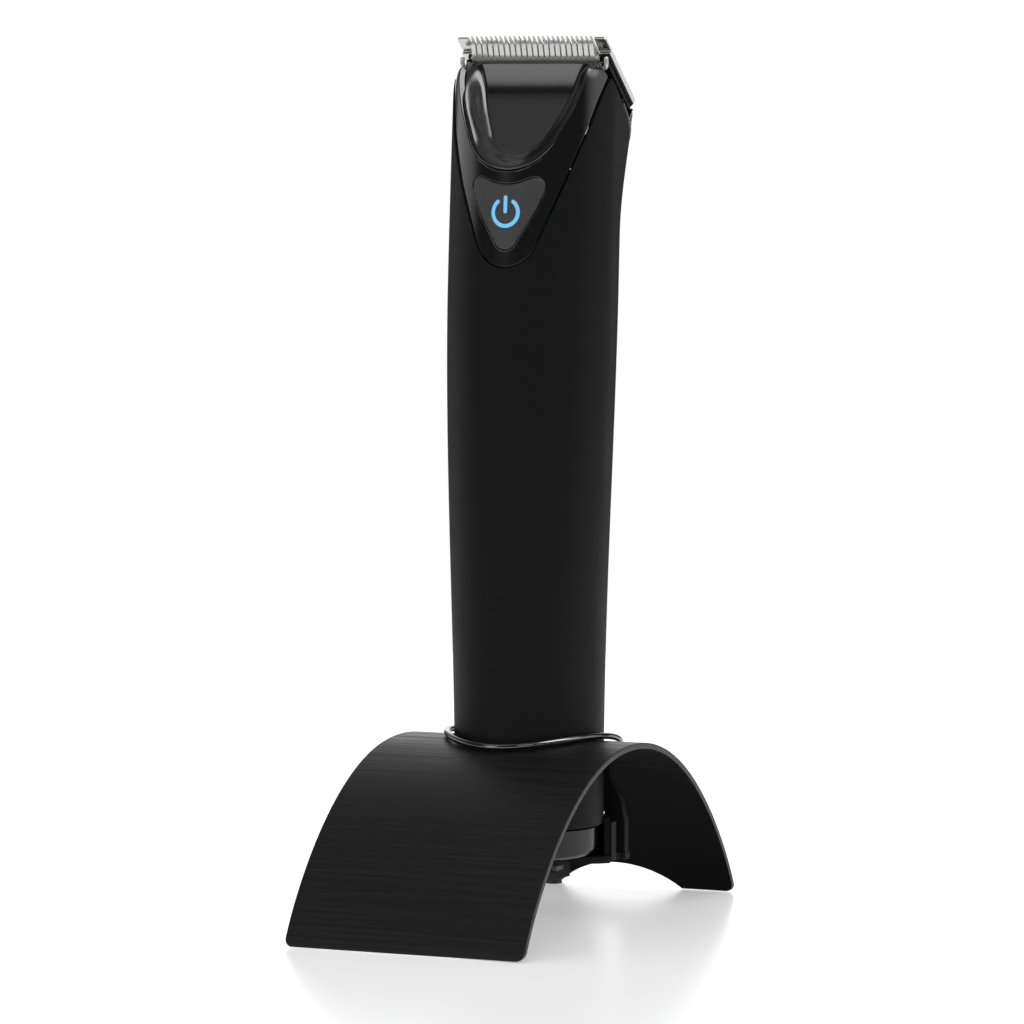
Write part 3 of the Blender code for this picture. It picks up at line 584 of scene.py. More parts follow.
class Finish:
    """A Principled material with a chain of nodes for its colour, roughness and relief."""

    def __init__(self, name, colour, roughness, metallic=0.0):
        self.material = bpy.data.materials.new(name)
        self.material.use_nodes = True
        self.tree = self.material.node_tree
        self.shader = self.tree.nodes["Principled BSDF"]
        self.colour = (*colour, 1.0)
        self.shader.inputs["Base Color"].default_value = self.colour
        self.shader.inputs["Roughness"].default_value = roughness
        self.shader.inputs["Metallic"].default_value = metallic
        self.relief = None
        self.place = self.node("ShaderNodeTexCoord").outputs["Object"]

    def node(self, kind, **settings):
        made = self.tree.nodes.new(kind)
        for key, value in settings.items():
            setattr(made, key, value)
        return made

    def link(self, source, target):
        self.tree.links.new(source, target)

    def set(self, **values):
        """Sets the shader's own sockets, such as coat_weight=0.5."""
        for key, value in values.items():
            self.shader.inputs[key.replace("_", " ").title().replace("Ior", "IOR")].default_value = value
        return self

    def grain(self, scale, stretch=(1, 1, 1), detail=4.0, rough=0.6):
        """A noise pattern, drawn out along the axes whose stretch is small."""
        mapping = self.node("ShaderNodeMapping")
        mapping.inputs["Scale"].default_value = stretch
        self.link(self.place, mapping.inputs["Vector"])
        noise = self.node("ShaderNodeTexNoise")
        noise.inputs["Scale"].default_value = scale
        noise.inputs["Detail"].default_value = detail
        noise.inputs["Roughness"].default_value = rough
        self.link(mapping.outputs["Vector"], noise.inputs["Vector"])
        return noise.outputs["Fac"]

    def spread(self, source, low, high, low_in=0.3, high_in=0.7):
        """A pattern's values moved into a range."""
        change = self.node("ShaderNodeMapRange")
        change.inputs["From Min"].default_value = low_in
        change.inputs["From Max"].default_value = high_in
        change.inputs["To Min"].default_value = low
        change.inputs["To Max"].default_value = high
        self.link(source, change.inputs["Value"])
        return change.outputs["Result"]

    def tint(self, source, other, low=0.3, high=0.7):
        """Mixes the colour towards another where the pattern is high."""
        mix = self.node("ShaderNodeMix", data_type="RGBA")
        colour_sockets = [s for s in mix.inputs if s.type == "RGBA"]
        colour_sockets[0].default_value = self.colour
        colour_sockets[1].default_value = (*other, 1.0)
        current = self.shader.inputs["Base Color"]
        if current.is_linked:
            self.link(current.links[0].from_socket, colour_sockets[0])
        self.link(self.spread(source, 0.0, 1.0, low, high), mix.inputs["Factor"])
        self.link([s for s in mix.outputs if s.type == "RGBA"][0], current)
        return self

    def wear(self, source, low, high, low_in=0.3, high_in=0.7):
        """Lets the pattern move the roughness between two values."""
        self.link(self.spread(source, low, high, low_in, high_in), self.shader.inputs["Roughness"])
        return self

    def bump(self, source, strength, depth):
        """Adds relief of a depth in metres."""
        bump = self.node("ShaderNodeBump")
        bump.inputs["Strength"].default_value = strength
        bump.inputs["Distance"].default_value = depth
        self.link(source, bump.inputs["Height"])
        if self.relief is not None:
            self.link(self.relief, bump.inputs["Normal"])
        self.relief = bump.outputs["Normal"]
        self.link(self.relief, self.shader.inputs["Normal"])
        return self

    def layer(self, base, scale=1.0, stretch=(1, 1, 1), detail=4.0, rough=0.6, tint=None, wear=None, bump=None):
        """One grain pattern with all that it does to the colour, the roughness and the relief."""
        grain = self.grain(scale, stretch, detail, rough)
        if tint is not None:
            self.tint(grain, shade(tint[0], base), *tint[1:])
        if wear is not None:
            self.wear(grain, *wear)
        if bump is not None:
            self.bump(grain, *bump)


def lighter(colour, factor):
    return tuple(min(1.0, c * factor) for c in colour)


def shade(spec, base=None):
    """A colour: three values, the name and factor of a user's colour, or a factor on the base."""
    if isinstance(spec, (int, float)):
        return lighter(base, spec)
    if isinstance(spec[0], str):
        return lighter(getattr(colours(), spec[0]), spec[1])
    return spec


def polish(coat, specular):
    """Piano gloss: a clear, even coat with the faintest ripple and hairlines."""
    return (("gloss", 1.0), 0.12, 0.0, [
        dict(scale=240, detail=2, bump=(0.02, 0.00003)),
        dict(scale=900, detail=5, tint=(1.5,), wear=(0.15, 0.22)),
    ], dict(coat_weight=coat, coat_roughness=0.07, specular_ior_level=specular))


def moulding(colour, roughness=0.5):
    """Moulded plastic with a light grain and a little flow in its colour."""
    return (colour, roughness, 0.0, [
        dict(scale=3500, wear=(roughness - 0.07, roughness + 0.08), bump=(0.2, 0.00003)),
        dict(scale=60, stretch=(1, 1, 4), detail=3, tint=(1.35,)),
    ], dict(specular_ior_level=0.12))


def ground(colour, stretch, roughness, metallic=0.55):
    """Metal with the parallel lines of a grinding wheel, or the marks of a die."""
    return (colour, roughness, metallic, [
        dict(stretch=stretch, detail=5, rough=0.7, tint=(0.82, 0.4, 0.8), wear=(roughness - 0.06, roughness + 0.1),
             bump=(0.22, 0.00003)),
        dict(scale=350, tint=(0.9, 0.5, 0.8)),
    ], {})


# Each finish: colour, roughness, metallic, its layers of grain, and the shader's other sockets.
FINISHES = {
    # Matte coat over a sheet that was brushed from side to side.
    "sheet_coat": (("coat", 1.0), 0.5, 0.0, [
        dict(stretch=(24, 2300, 2300), detail=5, rough=0.7, tint=(2.4, 0.42, 0.75), wear=(0.34, 0.56, 0.4, 0.65),
             bump=(0.6, 0.00006)),
        dict(stretch=(90, 5200, 5200), detail=2, rough=0.5, bump=(0.4, 0.00003)),
        dict(scale=5200, detail=2, bump=(0.12, 0.00002)),
    ], dict(specular_ior_level=0.3)),
    # Inside of the bend: the coat at under half its colour and dull, a painted shade where little light comes.
    "sheet_inside": (("coat", 0.45), 0.6, 0.0, [
        dict(stretch=(24, 2300, 2300), tint=(("coat", 0.9), 0.42, 0.75), wear=(0.5, 0.7), bump=(0.3, 0.00005)),
    ], dict(specular_ior_level=0.04)),
    # Cut edge of the sheet, where the coat is thin and the metal shows through.
    "sheet_edge": ((0.02, 0.02, 0.021), 0.4, 0.3, [
        dict(stretch=(2500, 260, 260), tint=((0.05, 0.05, 0.05), 0.45, 0.8), wear=(0.28, 0.45), bump=(0.3, 0.00004)),
    ], {}),
    # Matte coat on a drawn tube, with fine turning marks round it.
    "sleeve_coat": (("coat", 1.0), 0.46, 0.0, [
        dict(stretch=(26, 26, 2600), tint=(1.45, 0.45, 0.8), bump=(0.22, 0.00004)),
        dict(scale=90, detail=3, wear=(0.43, 0.5)),
        dict(scale=6000, detail=2, bump=(0.1, 0.00002)),
    ], dict(specular_ior_level=0.13)),
    "polish": polish(1.0, 0.5),
    "cap_polish": polish(0.3, 0.3),
    # Fine spark-eroded satin of the button.
    "satin": (("button", 1.0), 0.42, 0.0, [
        dict(scale=7000, detail=3, wear=(0.38, 0.48), bump=(0.18, 0.00002)),
        dict(scale=300, detail=2, tint=(1.2,)),
    ], {}),
    "moulding": moulding((0.006, 0.006, 0.0062)),
    "inner_moulding": moulding((0.1, 0.1, 0.1)),
    "ground_steel": ground(("steel", 1.0), (2400, 90, 90), 0.2),
    "mirror_steel": ground(("steel", 1.0), (90, 1800, 1800), 0.13, 0.96),
    "black_screw": ground((0.03, 0.03, 0.03), (900, 900, 900), 0.4),
    "drawn_steel": ground((0.62, 0.62, 0.63), (300, 300, 900), 0.24),
    "plated_steel": ground((0.55, 0.55, 0.56), (900, 900, 900), 0.3),
    # Dark chrome wire, with faint drawing marks.
    "dark_chrome": (("ring", 1.0), 0.09, 1.0, [
        dict(scale=1400, tint=(0.75, 0.5, 0.8), wear=(0.06, 0.13), bump=(0.05, 0.00002)),
    ], {}),
    "gilding": ((0.83, 0.62, 0.28), 0.2, 1.0, [
        dict(scale=2600, detail=5, tint=((0.6, 0.5, 0.36), 0.55, 0.85), wear=(0.16, 0.34), bump=(0.1, 0.00002)),
    ], {}),
    "solder_mask": ((0.012, 0.1, 0.04), 0.3, 0.0, [dict(scale=1500, wear=(0.24, 0.38))], {}),
    # Blue film shrunk over the cell, slightly wrinkled along it.
    "shrink_film": ((0.03, 0.13, 0.36), 0.25, 0.0, [
        dict(stretch=(700, 700, 60), detail=3, tint=((0.05, 0.18, 0.46),), wear=(0.18, 0.32), bump=(0.25, 0.00006)),
    ], dict(coat_weight=0.4)),
    "rubber": ((0.012, 0.012, 0.012), 0.8, 0.0, [
        dict(scale=2200, tint=((0.03, 0.03, 0.03), 0.5, 0.9), wear=(0.7, 0.9), bump=(0.2, 0.00003)),
    ], {}),
    # Translucent print lit from behind.
    "lit_symbol": (("glow", 0.28), 0.4, 0.0, [
        dict(scale=900, detail=2, tint=(("glow", 0.33),), wear=(0.35, 0.45), bump=(0.05, 0.00001)),
    ], dict(emission_strength=0.66)),
}


def add_tracks(made):
    """Raised copper tracks under the board's mask."""
    tracks = made.node("ShaderNodeTexBrick")
    tracks.inputs["Scale"].default_value = 420
    tracks.inputs["Mortar Size"].default_value = 0.03
    mapping = made.node("ShaderNodeMapping")
    mapping.inputs["Rotation"].default_value = (pi / 2, 0, 0)
    made.link(made.place, mapping.inputs["Vector"])
    made.link(mapping.outputs["Vector"], tracks.inputs["Vector"])
    made.tint(tracks.outputs["Fac"], (0.04, 0.22, 0.09), 0.2, 0.8)
    made.bump(tracks.outputs["Fac"], 0.4, 0.00004)


def finish(name):
    """The named finish, made when it is first asked for."""
    if name in bpy.data.materials:
        return bpy.data.materials[name]
    colour, roughness, metallic, layers, sockets = FINISHES[name]
    base = shade(colour)
    made = Finish(name, base, roughness, metallic)
    for layer in layers:
        made.layer(base, **layer)
    if name == "solder_mask":
        add_tracks(made)
    if name == "lit_symbol":
        made.set(emission_color=(*colours().glow, 1.0))
    return made.set(**sockets).material


def refine(node, finish_name, rounding=0.00012):
    """Gives a node of the frame its finish and breaks its sharp edges."""
    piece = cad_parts[node]
    piece.data.materials.clear()
    piece.data.materials.append(finish(finish_name))
    weld = piece.modifiers.new("Weld", "WELD")
    weld.merge_threshold = 0.00001
    if rounding:
        bevel = piece.modifiers.new("Bevel", "BEVEL")
        bevel.width = rounding
        bevel.segments = 2
        bevel.limit_method = "ANGLE"
        bevel.angle_limit = radians(40)
    normals = piece.modifiers.new("Weighted normals", "WEIGHTED_NORMAL")
    normals.keep_sharp = False


# --- stand ---


def arch_height(y):
    half = STAND_HIGH.y
    reach = min(1.0, abs(y / half))
    return STAND_HIGH.z * (1 - reach**ARCH_ROUND) ** (1 / ARCH_SHOULDER)


def arch_rows(columns, steps):
    """Rows of points over the arch, closer together towards its feet, and a little below the floor."""
    half = STAND_HIGH.y
    profile = [(-half, -2.0), (-half, -1.0)]
    for i in range(steps + 1):
        y = half * sin(pi * (i / steps - 0.5))
        profile.append((y, arch_height(y)))
    profile += [(half, -1.0), (half, -2.0)]
    return [[(x, y, z) for x in columns] for y, z in profile]


class GROOMER_OT_stand_sheet(bpy.types.Operator):
    """Builds the stand's bent sheet with its mouth, feet and plug hole"""

    bl_idname = "groomer.stand_sheet"
    bl_label = "Stand sheet"

    def execute(self, context):
        edge, strips = STAND_HIGH.x, 44
        columns = [-edge + 2 * edge * i / strips for i in range(strips + 1)]
        mesh = Skin().strip(arch_rows(columns, 150)).mesh("stand_sheet", away_from=(0, 0, 0))
        sheet = place("stand_sheet", mesh, "sheet_coat", "stand", ["stand_arch"])
        mesh.materials.append(finish("sheet_edge"))
        # the inner faces take the coat darkened as painted shade
        mesh.materials.append(finish("sheet_inside"))
        thicken(sheet, sizes().sheet, rim_material=1, inner_material=2)
        mouth = [(MOUTH_HALF_X * cos(a), MOUTH_Y + MOUTH_HALF_Y * sin(a))
                 for a in (2 * pi * i / 160 for i in range(160))]
        rise, half = 5.5, 15.0    # arc out of the rear foot
        radius = (half**2 + rise**2) / (2 * rise)
        tools = [
            prism_tool("floor_trim", [(-40, -90), (40, -90), (40, 90), (-40, 90)], -10, 0),
            prism_tool("mouth_cut", mouth, 15, 60),
            prism_tool("rear_foot_cut", circle((0, rise - radius), radius, 200), 45, 75, "Y"),
            prism_tool("plug_cut", circle((0, 17.4), 5.5, 72), 36, 66, "Y"),
        ]
        r = 1.8    # corners of the feet
        for side in (-1, 1):
            corner = [(edge + 2, -2), (edge - r, -2)]
            corner += [(edge - r + r * sin(a), r - r * cos(a)) for a in (radians(9 * i) for i in range(11))]
            corner += [(edge + 2, r)]
            corner = [(side * x, z) for x, z in corner]
            tools.append(prism_tool(f"corner_cut_{side}", corner, -80, 80, "Y"))
        for used in tools:
            used.data.materials.append(finish("sheet_edge"))
        cut(sheet, *tools)
        apply_modifiers(sheet)
        soften(sheet, 0.00018, 2, 45)
        return {"FINISHED"}


class GROOMER_OT_mouth_ring(bpy.types.Operator):
    """Builds the chrome wire ring that lies round the stand's mouth"""

    bl_idname = "groomer.mouth_ring"
    bl_label = "Mouth ring"

    def execute(self, context):
        radius = sizes().wire / MM
        steps, lift, rear_lift = 180, 1.06, 0.25
        path = []
        for i in range(steps):
            angle = 2 * pi * i / steps
            y = MOUTH_Y + (MOUTH_HALF_Y + radius + 0.1) * sin(angle)
            z = arch_height(y) + lift + rear_lift * max(0.0, sin(angle))
            path.append(((MOUTH_HALF_X + radius + 0.05) * cos(angle), y, z))
        mesh = tube_mesh("mouth_wire", path, radius, 24, cyclic=True)
        place("mouth_wire", mesh, "dark_chrome", "stand", ["mouth_ring"])
        return {"FINISHED"}


class GROOMER_OT_cradle(bpy.types.Operator):
    """Finishes the cradle inside the stand, its socket, pins and board"""

    bl_idname = "groomer.cradle"
    bl_label = "Cradle"

    def execute(self, context):
        for node in ("dock_bracket", "dock_cover", "power_socket"):
            refine(node, "moulding", 0.00025)
        refine("dock_board", "solder_mask", 0)
        refine("contact_block", "inner_moulding")
        for side in ("left", "right"):
            refine(f"charge_pin_{side}", "gilding", 0)
            refine(f"cover_screw_{side}", "black_screw", 0.00008)
        return {"FINISHED"}


# --- groomer ---


class GROOMER_OT_sleeve(bpy.types.Operator):
    """Builds the matte sleeve with its V in front and its curved edge behind"""

    bl_idname = "groomer.sleeve"
    bl_label = "Sleeve"

    def execute(self, context):
        height = edge_finder(sleeve_v(), sleeve_rear())
        turns = even_turns(height, 120)
        tops = [(turn, height(turn)) for turn in turns]
        foot, steps, crowding = SLEEVE_LOW.z, 90, 1.25
        rows = []
        for k in range(steps + 1):
            share = 1 - (1 - k / steps) ** crowding
            rows.append([body_point(turn, foot + (top - foot) * share) for turn, top in tops])
        mesh = Skin().strip(rows, mirror=True).mesh("matte_sleeve", away_from=(0, AXIS_Y, 90))
        sleeve = place("matte_sleeve", mesh, "sleeve_coat", "trimmer", ["body_sleeve"])
        thicken(sleeve, SLEEVE_WALL)
        soften(sleeve, 0.0002, 3, 42)
        return {"FINISHED"}


def button_corners(margin=0.0):
    """The button's outline, in (x, z): foot, flank, lobe and the hollow along its top."""
    foot = (0.0, 142.9 - 1.6 * margin, 2.6 + margin)
    hollow = (0.0, 158.4 + margin, 12.0 - margin)
    side = [(6.6 + margin, 153.4, 30.0), (9.95 + 1.4 * margin, 162.1 + margin, 2.0 + margin)]
    return mirrored([foot, *side, hollow])


def button_half(margin, steps=FINE):
    """Three stretches of the button's right half: up its flank, round its lobe, and along its top."""
    points = rounded(button_corners(margin), steps)
    span = steps + 1
    flank = points[steps // 2:2 * span + 1]
    lobe = points[2 * span:3 * span]
    top = points[3 * span - 1:3 * span + steps // 2 + 1]
    return flank, lobe, top


def head_v(inset=0.0, steps=FINE):
    """The right half of the head's V seen from the front, in (x, z)."""
    return right_half([
        (0.0, 146.5 + 2.39 * inset, 11.3 - inset),
        (13.6 - inset, 176.0, 25.0),
        (16.3 - inset, 186.5, 0.0),
        (16.3 - inset, 205.0, 0.0),
    ], steps)


class GROOMER_OT_fascia(bpy.types.Operator):
    """Builds the polished fascia round the button, and its two shoulders beside the head"""

    bl_idname = "groomer.fascia"
    bl_label = "Fascia"

    def execute(self, context):
        seam = sizes().seam / MM
        outer = sleeve_v(seam)
        inner = head_v(-seam)
        fork_outer, fork_inner, top = 168.5, 165.6, 184.4
        flank, lobe, over = button_half(BUTTON_GAP)
        counts = (64, 18, 26)
        near = spread(flank, counts[0])[:-1] + spread(lobe, counts[1])[:-1] + spread(over, counts[2])
        low_v = cut_at_height(outer, fork_outer)
        low_head = cut_at_height(inner, fork_inner)
        crossing = [low_v[-1], low_head[-1]]
        far = spread(low_v, counts[0])[:-1] + spread(crossing, counts[1])[:-1]
        far += spread(list(reversed(low_head)), counts[2])
        steps = 14
        rows = [[self.point(a.lerp(b, k / steps)) for a, b in zip(near, far)] for k in range(steps + 1)]
        skin = Skin().strip(rows, mirror=True)
        high_v = from_height(cut_at_height(outer, 182.4), fork_outer) + [(17.9, top)]
        high_head = from_height(cut_at_height(inner, top), fork_inner)
        length = 36
        sides = zip(spread(high_v, length), spread(high_head, length))
        horn = [[self.point(a.lerp(b, j / (counts[1] - 1))) for j in range(counts[1])] for a, b in sides]
        skin.strip(horn, mirror=True)
        mesh = skin.mesh("fascia", away_from=(0, 14, 160))
        fascia = place("fascia", mesh, "polish", "trimmer", ["front_housing"])
        thicken(fascia, HOUSING_WALL)
        soften(fascia, sizes().edge, 3, 45)
        return {"FINISHED"}

    @staticmethod
    def point(spot):
        """Place on the fascia, whose shoulders round inwards at their tops."""
        x, z = spot
        rise = max(0.0, z - 179.8) / 4.8
        inset = HOUSING_INSET + 1.3 * (1 - sqrt(max(0.0, 1 - rise * rise)))
        return body_point(front_turn(x, z), z, inset)


class GROOMER_OT_rear_cover(bpy.types.Operator):
    """Builds the polished cover above the sleeve at the back"""

    bl_idname = "groomer.rear_cover"
    bl_label = "Rear cover"

    def execute(self, context):
        seam = sizes().seam / MM
        lower, upper = sleeve_rear(seam), housing_top()
        low = edge_finder([(0.0, 200.0), (40.0, 200.0)], lower)
        high = edge_finder([(0.0, 200.0), (40.0, 200.0)], upper)
        turns = even_turns(low, 90, start=radians(1.0))
        rows = []
        steps = 20
        for k in range(steps + 1):
            share = k / steps
            swell = 0.45 * (2 * share - 1) ** 4 - 0.1
            rows.append([body_point(t, low(t) + (max(high(t), low(t) + 0.4) - low(t)) * share, swell)
                         for t in turns])
        mesh = Skin().strip(rows, mirror=True).mesh("rear_cover", away_from=(0, 10, 170))
        cover = place("rear_cover", mesh, "polish", "trimmer", ["rear_housing"])
        thicken(cover, HOUSING_WALL)
        soften(cover, sizes().edge, 3, 45)
        return {"FINISHED"}


class GROOMER_OT_end_cap(bpy.types.Operator):
    """Builds the polished cap at the foot, with its rolled edge and contact holes"""

    bl_idname = "groomer.end_cap"
    bl_label = "End cap"

    def execute(self, context):
        foot, roll = CAP_FOOT, 1.9
        sections = [(foot, 5.0), (foot, 3.6)]
        for i in range(11):
            angle = radians(9 * i)
            sections.append((foot + roll * (1 - cos(angle)), 0.95 + roll - roll * sin(angle)))
        sections += [(foot + 2.6, 0.9), (foot + 4.2, 0.88), (foot + 6.25, 0.88), (foot + 6.38, 1.05)]
        sections += [(foot + 6.4, 1.6), (foot + 13.0, 1.6)]
        rings = [[body_point(2 * pi * i / 160, z, inset) for i in range(160)] for z, inset in sections]
        mesh = Skin().closed(rings).mesh("foot_cap")
        cap = place("foot_cap", mesh, "cap_polish", "trimmer", ["end_cap"])
        tools = []
        for side in (-1, 1):
            tools.append(prism_tool(f"contact_cut_{side}", circle((side * 5.0, AXIS_Y), 2.5, 48), 5, 18.5))
        tools.append(prism_tool("screw_cut", circle((0, -2.5), 2.3, 40), 5, 14.9))
        cut(cap, *tools)
        apply_modifiers(cap)
        soften(cap, 0.00012, 2, 50)
        for side in ("left", "right"):
            refine(f"charge_contact_{side}", "gilding", 0.0002)
        refine("cap_screw", "plated_steel", 0.0001)
        return {"FINISHED"}


class GROOMER_OT_power_button(bpy.types.Operator):
    """Builds the satin button and the lit symbol in it"""

    bl_idname = "groomer.power_button"
    bl_label = "Power button"

    def execute(self, context):
        flank, lobe, over = button_half(0.0)
        half = spread(flank, 60)[:-1] + spread(lobe, 20)[:-1] + spread(over, 24)
        middle = Vector((0.0, 153.6))
        steps = 22
        rows = []
        for k in range(steps + 1):
            share = 1 - k / steps
            rows.append([skin_point(*middle.lerp(p, share), BUTTON_INSET) for p in half])
        mesh = Skin().strip(rows, mirror=True).mesh("shield_button", away_from=(0, 14, middle.y))
        button = place("shield_button", mesh, "satin", "button", ["power_button"])
        thicken(button, BUTTON_WALL)
        soften(button, 0.00028, 3, 45)
        self.symbol()
        return {"FINISHED"}

    def symbol(self):
        """Open ring and bar, with round ends, just proud of the button."""
        middle, radius, stroke = Vector((0.0, 153.2)), 2.9, 0.42
        opening = radians(38)
        arcs = [middle + Vector((radius * sin(a), radius * cos(a)))
                for a in (opening + (2 * pi - 2 * opening) * i / 72 for i in range(73))]
        bar = [Vector((0.0, 153.4 + 3.0 * i / 12)) for i in range(13)]
        skin = Skin()
        for path in (arcs, bar):
            skin.strip([[skin_point(*p, BUTTON_INSET - PRINT_RISE) for p in row]
                        for row in self.stroke_rows(path, stroke)])
        mesh = skin.mesh("power_symbol", away_from=(0, 14, middle.y))
        symbol = place("power_symbol", mesh, "lit_symbol", "button", ["symbol_light_guide"])
        thicken(symbol, 0.0003)

    @staticmethod
    def stroke_rows(path, half):
        """Rows across a drawn stroke, with half-round ends."""
        rows = []
        ends = [radians(15 * i) for i in range(1, 7)]
        count = len(path)
        for i, here in enumerate(path):
            ahead = (path[min(i + 1, count - 1)] - path[max(i - 1, 0)]).normalized()
            side = Vector((ahead.y, -ahead.x))
            across = [here + side * half * (k / 3 - 1) for k in range(7)]
            before = [-a for a in reversed(ends)] if i == 0 else []
            after = ends if i == count - 1 else []
            for a in (*before, 0.0, *after):
                rows.append([here + ahead * half * sin(a) + (p - here) * cos(a) for p in across])
        return rows


# --- cutting head ---


def head_face(z):
    """The head's front seen from the side."""
    return -5.6 + 0.447 * (z - 162.2) + 0.053 * max(0.0, z - 177.0) ** 2


def scoop_floor(z):
    """The scoop's floor seen from the side: steep near the blade, sloping forwards below."""
    below = 179.0 - z
    return 8.4 - 0.225 * (185.6 - z) - 0.33 * (below + sqrt(below * below + 6.0)) / 2


def head_depth(z, inset):
    """How far back the head's face lies, that far inside its V."""
    rim, slope = sizes().rim / MM, sizes().slope / MM
    face = head_face(z)
    roll = 0.5
    if inset < roll:
        edge = 1 - inset / roll
        face += roll * (1 - sqrt(1 - edge * edge))
    drop = max(0.0, scoop_floor(z) - head_face(z))
    crown = 0.1 * sin(pi * min(1.0, inset / (2 * rim)))
    return face + drop * smooth((inset - rim) / slope) - crown * min(1.0, drop)


def blade_frame():
    """Turns (x, along, above) of the blades into the model: along runs down to the rear."""
    return Matrix.Translation((0, TIP_Y, TIP_Z)) @ Matrix.Rotation(-BLADE_TILT, 4, "X")


def blade_point(along, above):
    """(y, z) of a point in the blade frame."""
    y = TIP_Y + along * cos(BLADE_TILT) + above * sin(BLADE_TILT)
    z = TIP_Z - along * sin(BLADE_TILT) + above * cos(BLADE_TILT)
    return y, z


class GROOMER_OT_head(bpy.types.Operator):
    """Builds the detachable head: the scooped V in front and the block behind"""

    bl_idname = "groomer.head"
    bl_label = "Cutting head"

    def execute(self, context):
        insets = [0.0, 0.04, 0.12, 0.24, 0.38, 0.5, 0.65, 0.8, 0.95, 1.1, 1.3, 1.55, 1.8, 2.1, 2.4, 2.7, 3.0]
        insets += [3.3, 3.6, 3.9, 4.2, 4.6, 5.1, 5.7, 6.4, 7.2, 8.0]
        count = 96
        rows = []
        outline = spread(cut_at_height(head_v(), HEAD_TOP), count)
        for back in (10.0, 6.0, 2.5, 0.9):
            rows.append([(p.x, head_depth(p.y, 0.0) + back * min(1.0, max(0.05, (10.5 - head_depth(p.y, 0)) / 10)),
                          p.y) for p in outline])
        for inset in insets:
            loop = spread(cut_at_height(head_v(inset), HEAD_TOP), count)
            rows.append([(p.x, head_depth(p.y, inset), p.y) for p in loop])
        last = rows[-1]
        fill = 10
        for k in range(1, fill + 1):
            rows.append([(x * (1 - k / fill), y, z) for x, y, z in last])
        mesh = Skin().strip(rows, mirror=True).mesh("scooped_face", away_from=(0, 20, 172))
        face = place("scooped_face", mesh, "polish", "head", ["head_shell"])
        thicken(face, 0.0006).use_even_offset = False
        self.rear_block()
        return {"FINISHED"}

    def rear_block(self):
        """The wedge behind the V, under the blade's carrier."""
        side = rounded([(*blade_point(7.0, -3.0), 0), (*blade_point(DECK_END, -1.5), 0), (26.6, 174.4, 2.0),
                        (27.0, 170.3, 0.5), (20.0, 171.9, 8), (16.8, 174.2, 8), (12.2, 178.7, 0),
                        (11.3, 179.6, 0), (11.3, 182.5, 0)])
        mesh = prism_mesh("rear_block", side, -17.2, 17.2, "X")
        block = place("rear_block", mesh, "polish", "head")
        heights = [165 + 22 * i / 24 for i in range(25)]
        rings = [[body_point(2 * pi * i / 200, z, -0.1) for i in range(200)] for z in heights]
        cut(block, tool("body_form", Skin().closed(rings).mesh("body_form")), operation="INTERSECT")
        deck = [(4.45, 20), (4.45, -3.2), (5.2, -3.2), (5.2, DECK), (DECK_END, DECK), (DECK_END, -1.2),
                (30, -1.2), (30, 20)]
        cut(block, prism_tool("deck_cut", [blade_point(*p) for p in deck], -30, 30, "X"))
        apply_modifiers(block)
        soften(block, 0.0005, 4, 40)


def tooth(skin, x, tip, root, tip_width, root_width, top, bottoms, turn):
    """One tooth in the blade frame: narrow and thin at its tip, with its corners taken off."""
    sections = []
    steps = 8
    for i in range(steps + 1):
        share = i / steps
        along = tip + (root - tip) * share
        half = (tip_width + (root_width - tip_width) * share ** 0.8) / 2
        low = bottoms(along)
        high = top - 0.12 * (1 - share) ** 3
        if i == 0:
            half *= 0.55
            low += 0.22
            high -= 0.1
        corner = min(0.09, half * 0.4)
        ring = [(-half, low + corner), (-half + corner, low), (half - corner, low), (half, low + corner),
                (half, high - corner * 0.6), (half - corner * 0.6, high), (-half + corner * 0.6, high),
                (-half, high - corner * 0.6)]
        sections.append([turn @ Vector((x + u, along, w)) for u, w in ring])
    skin.closed(sections)


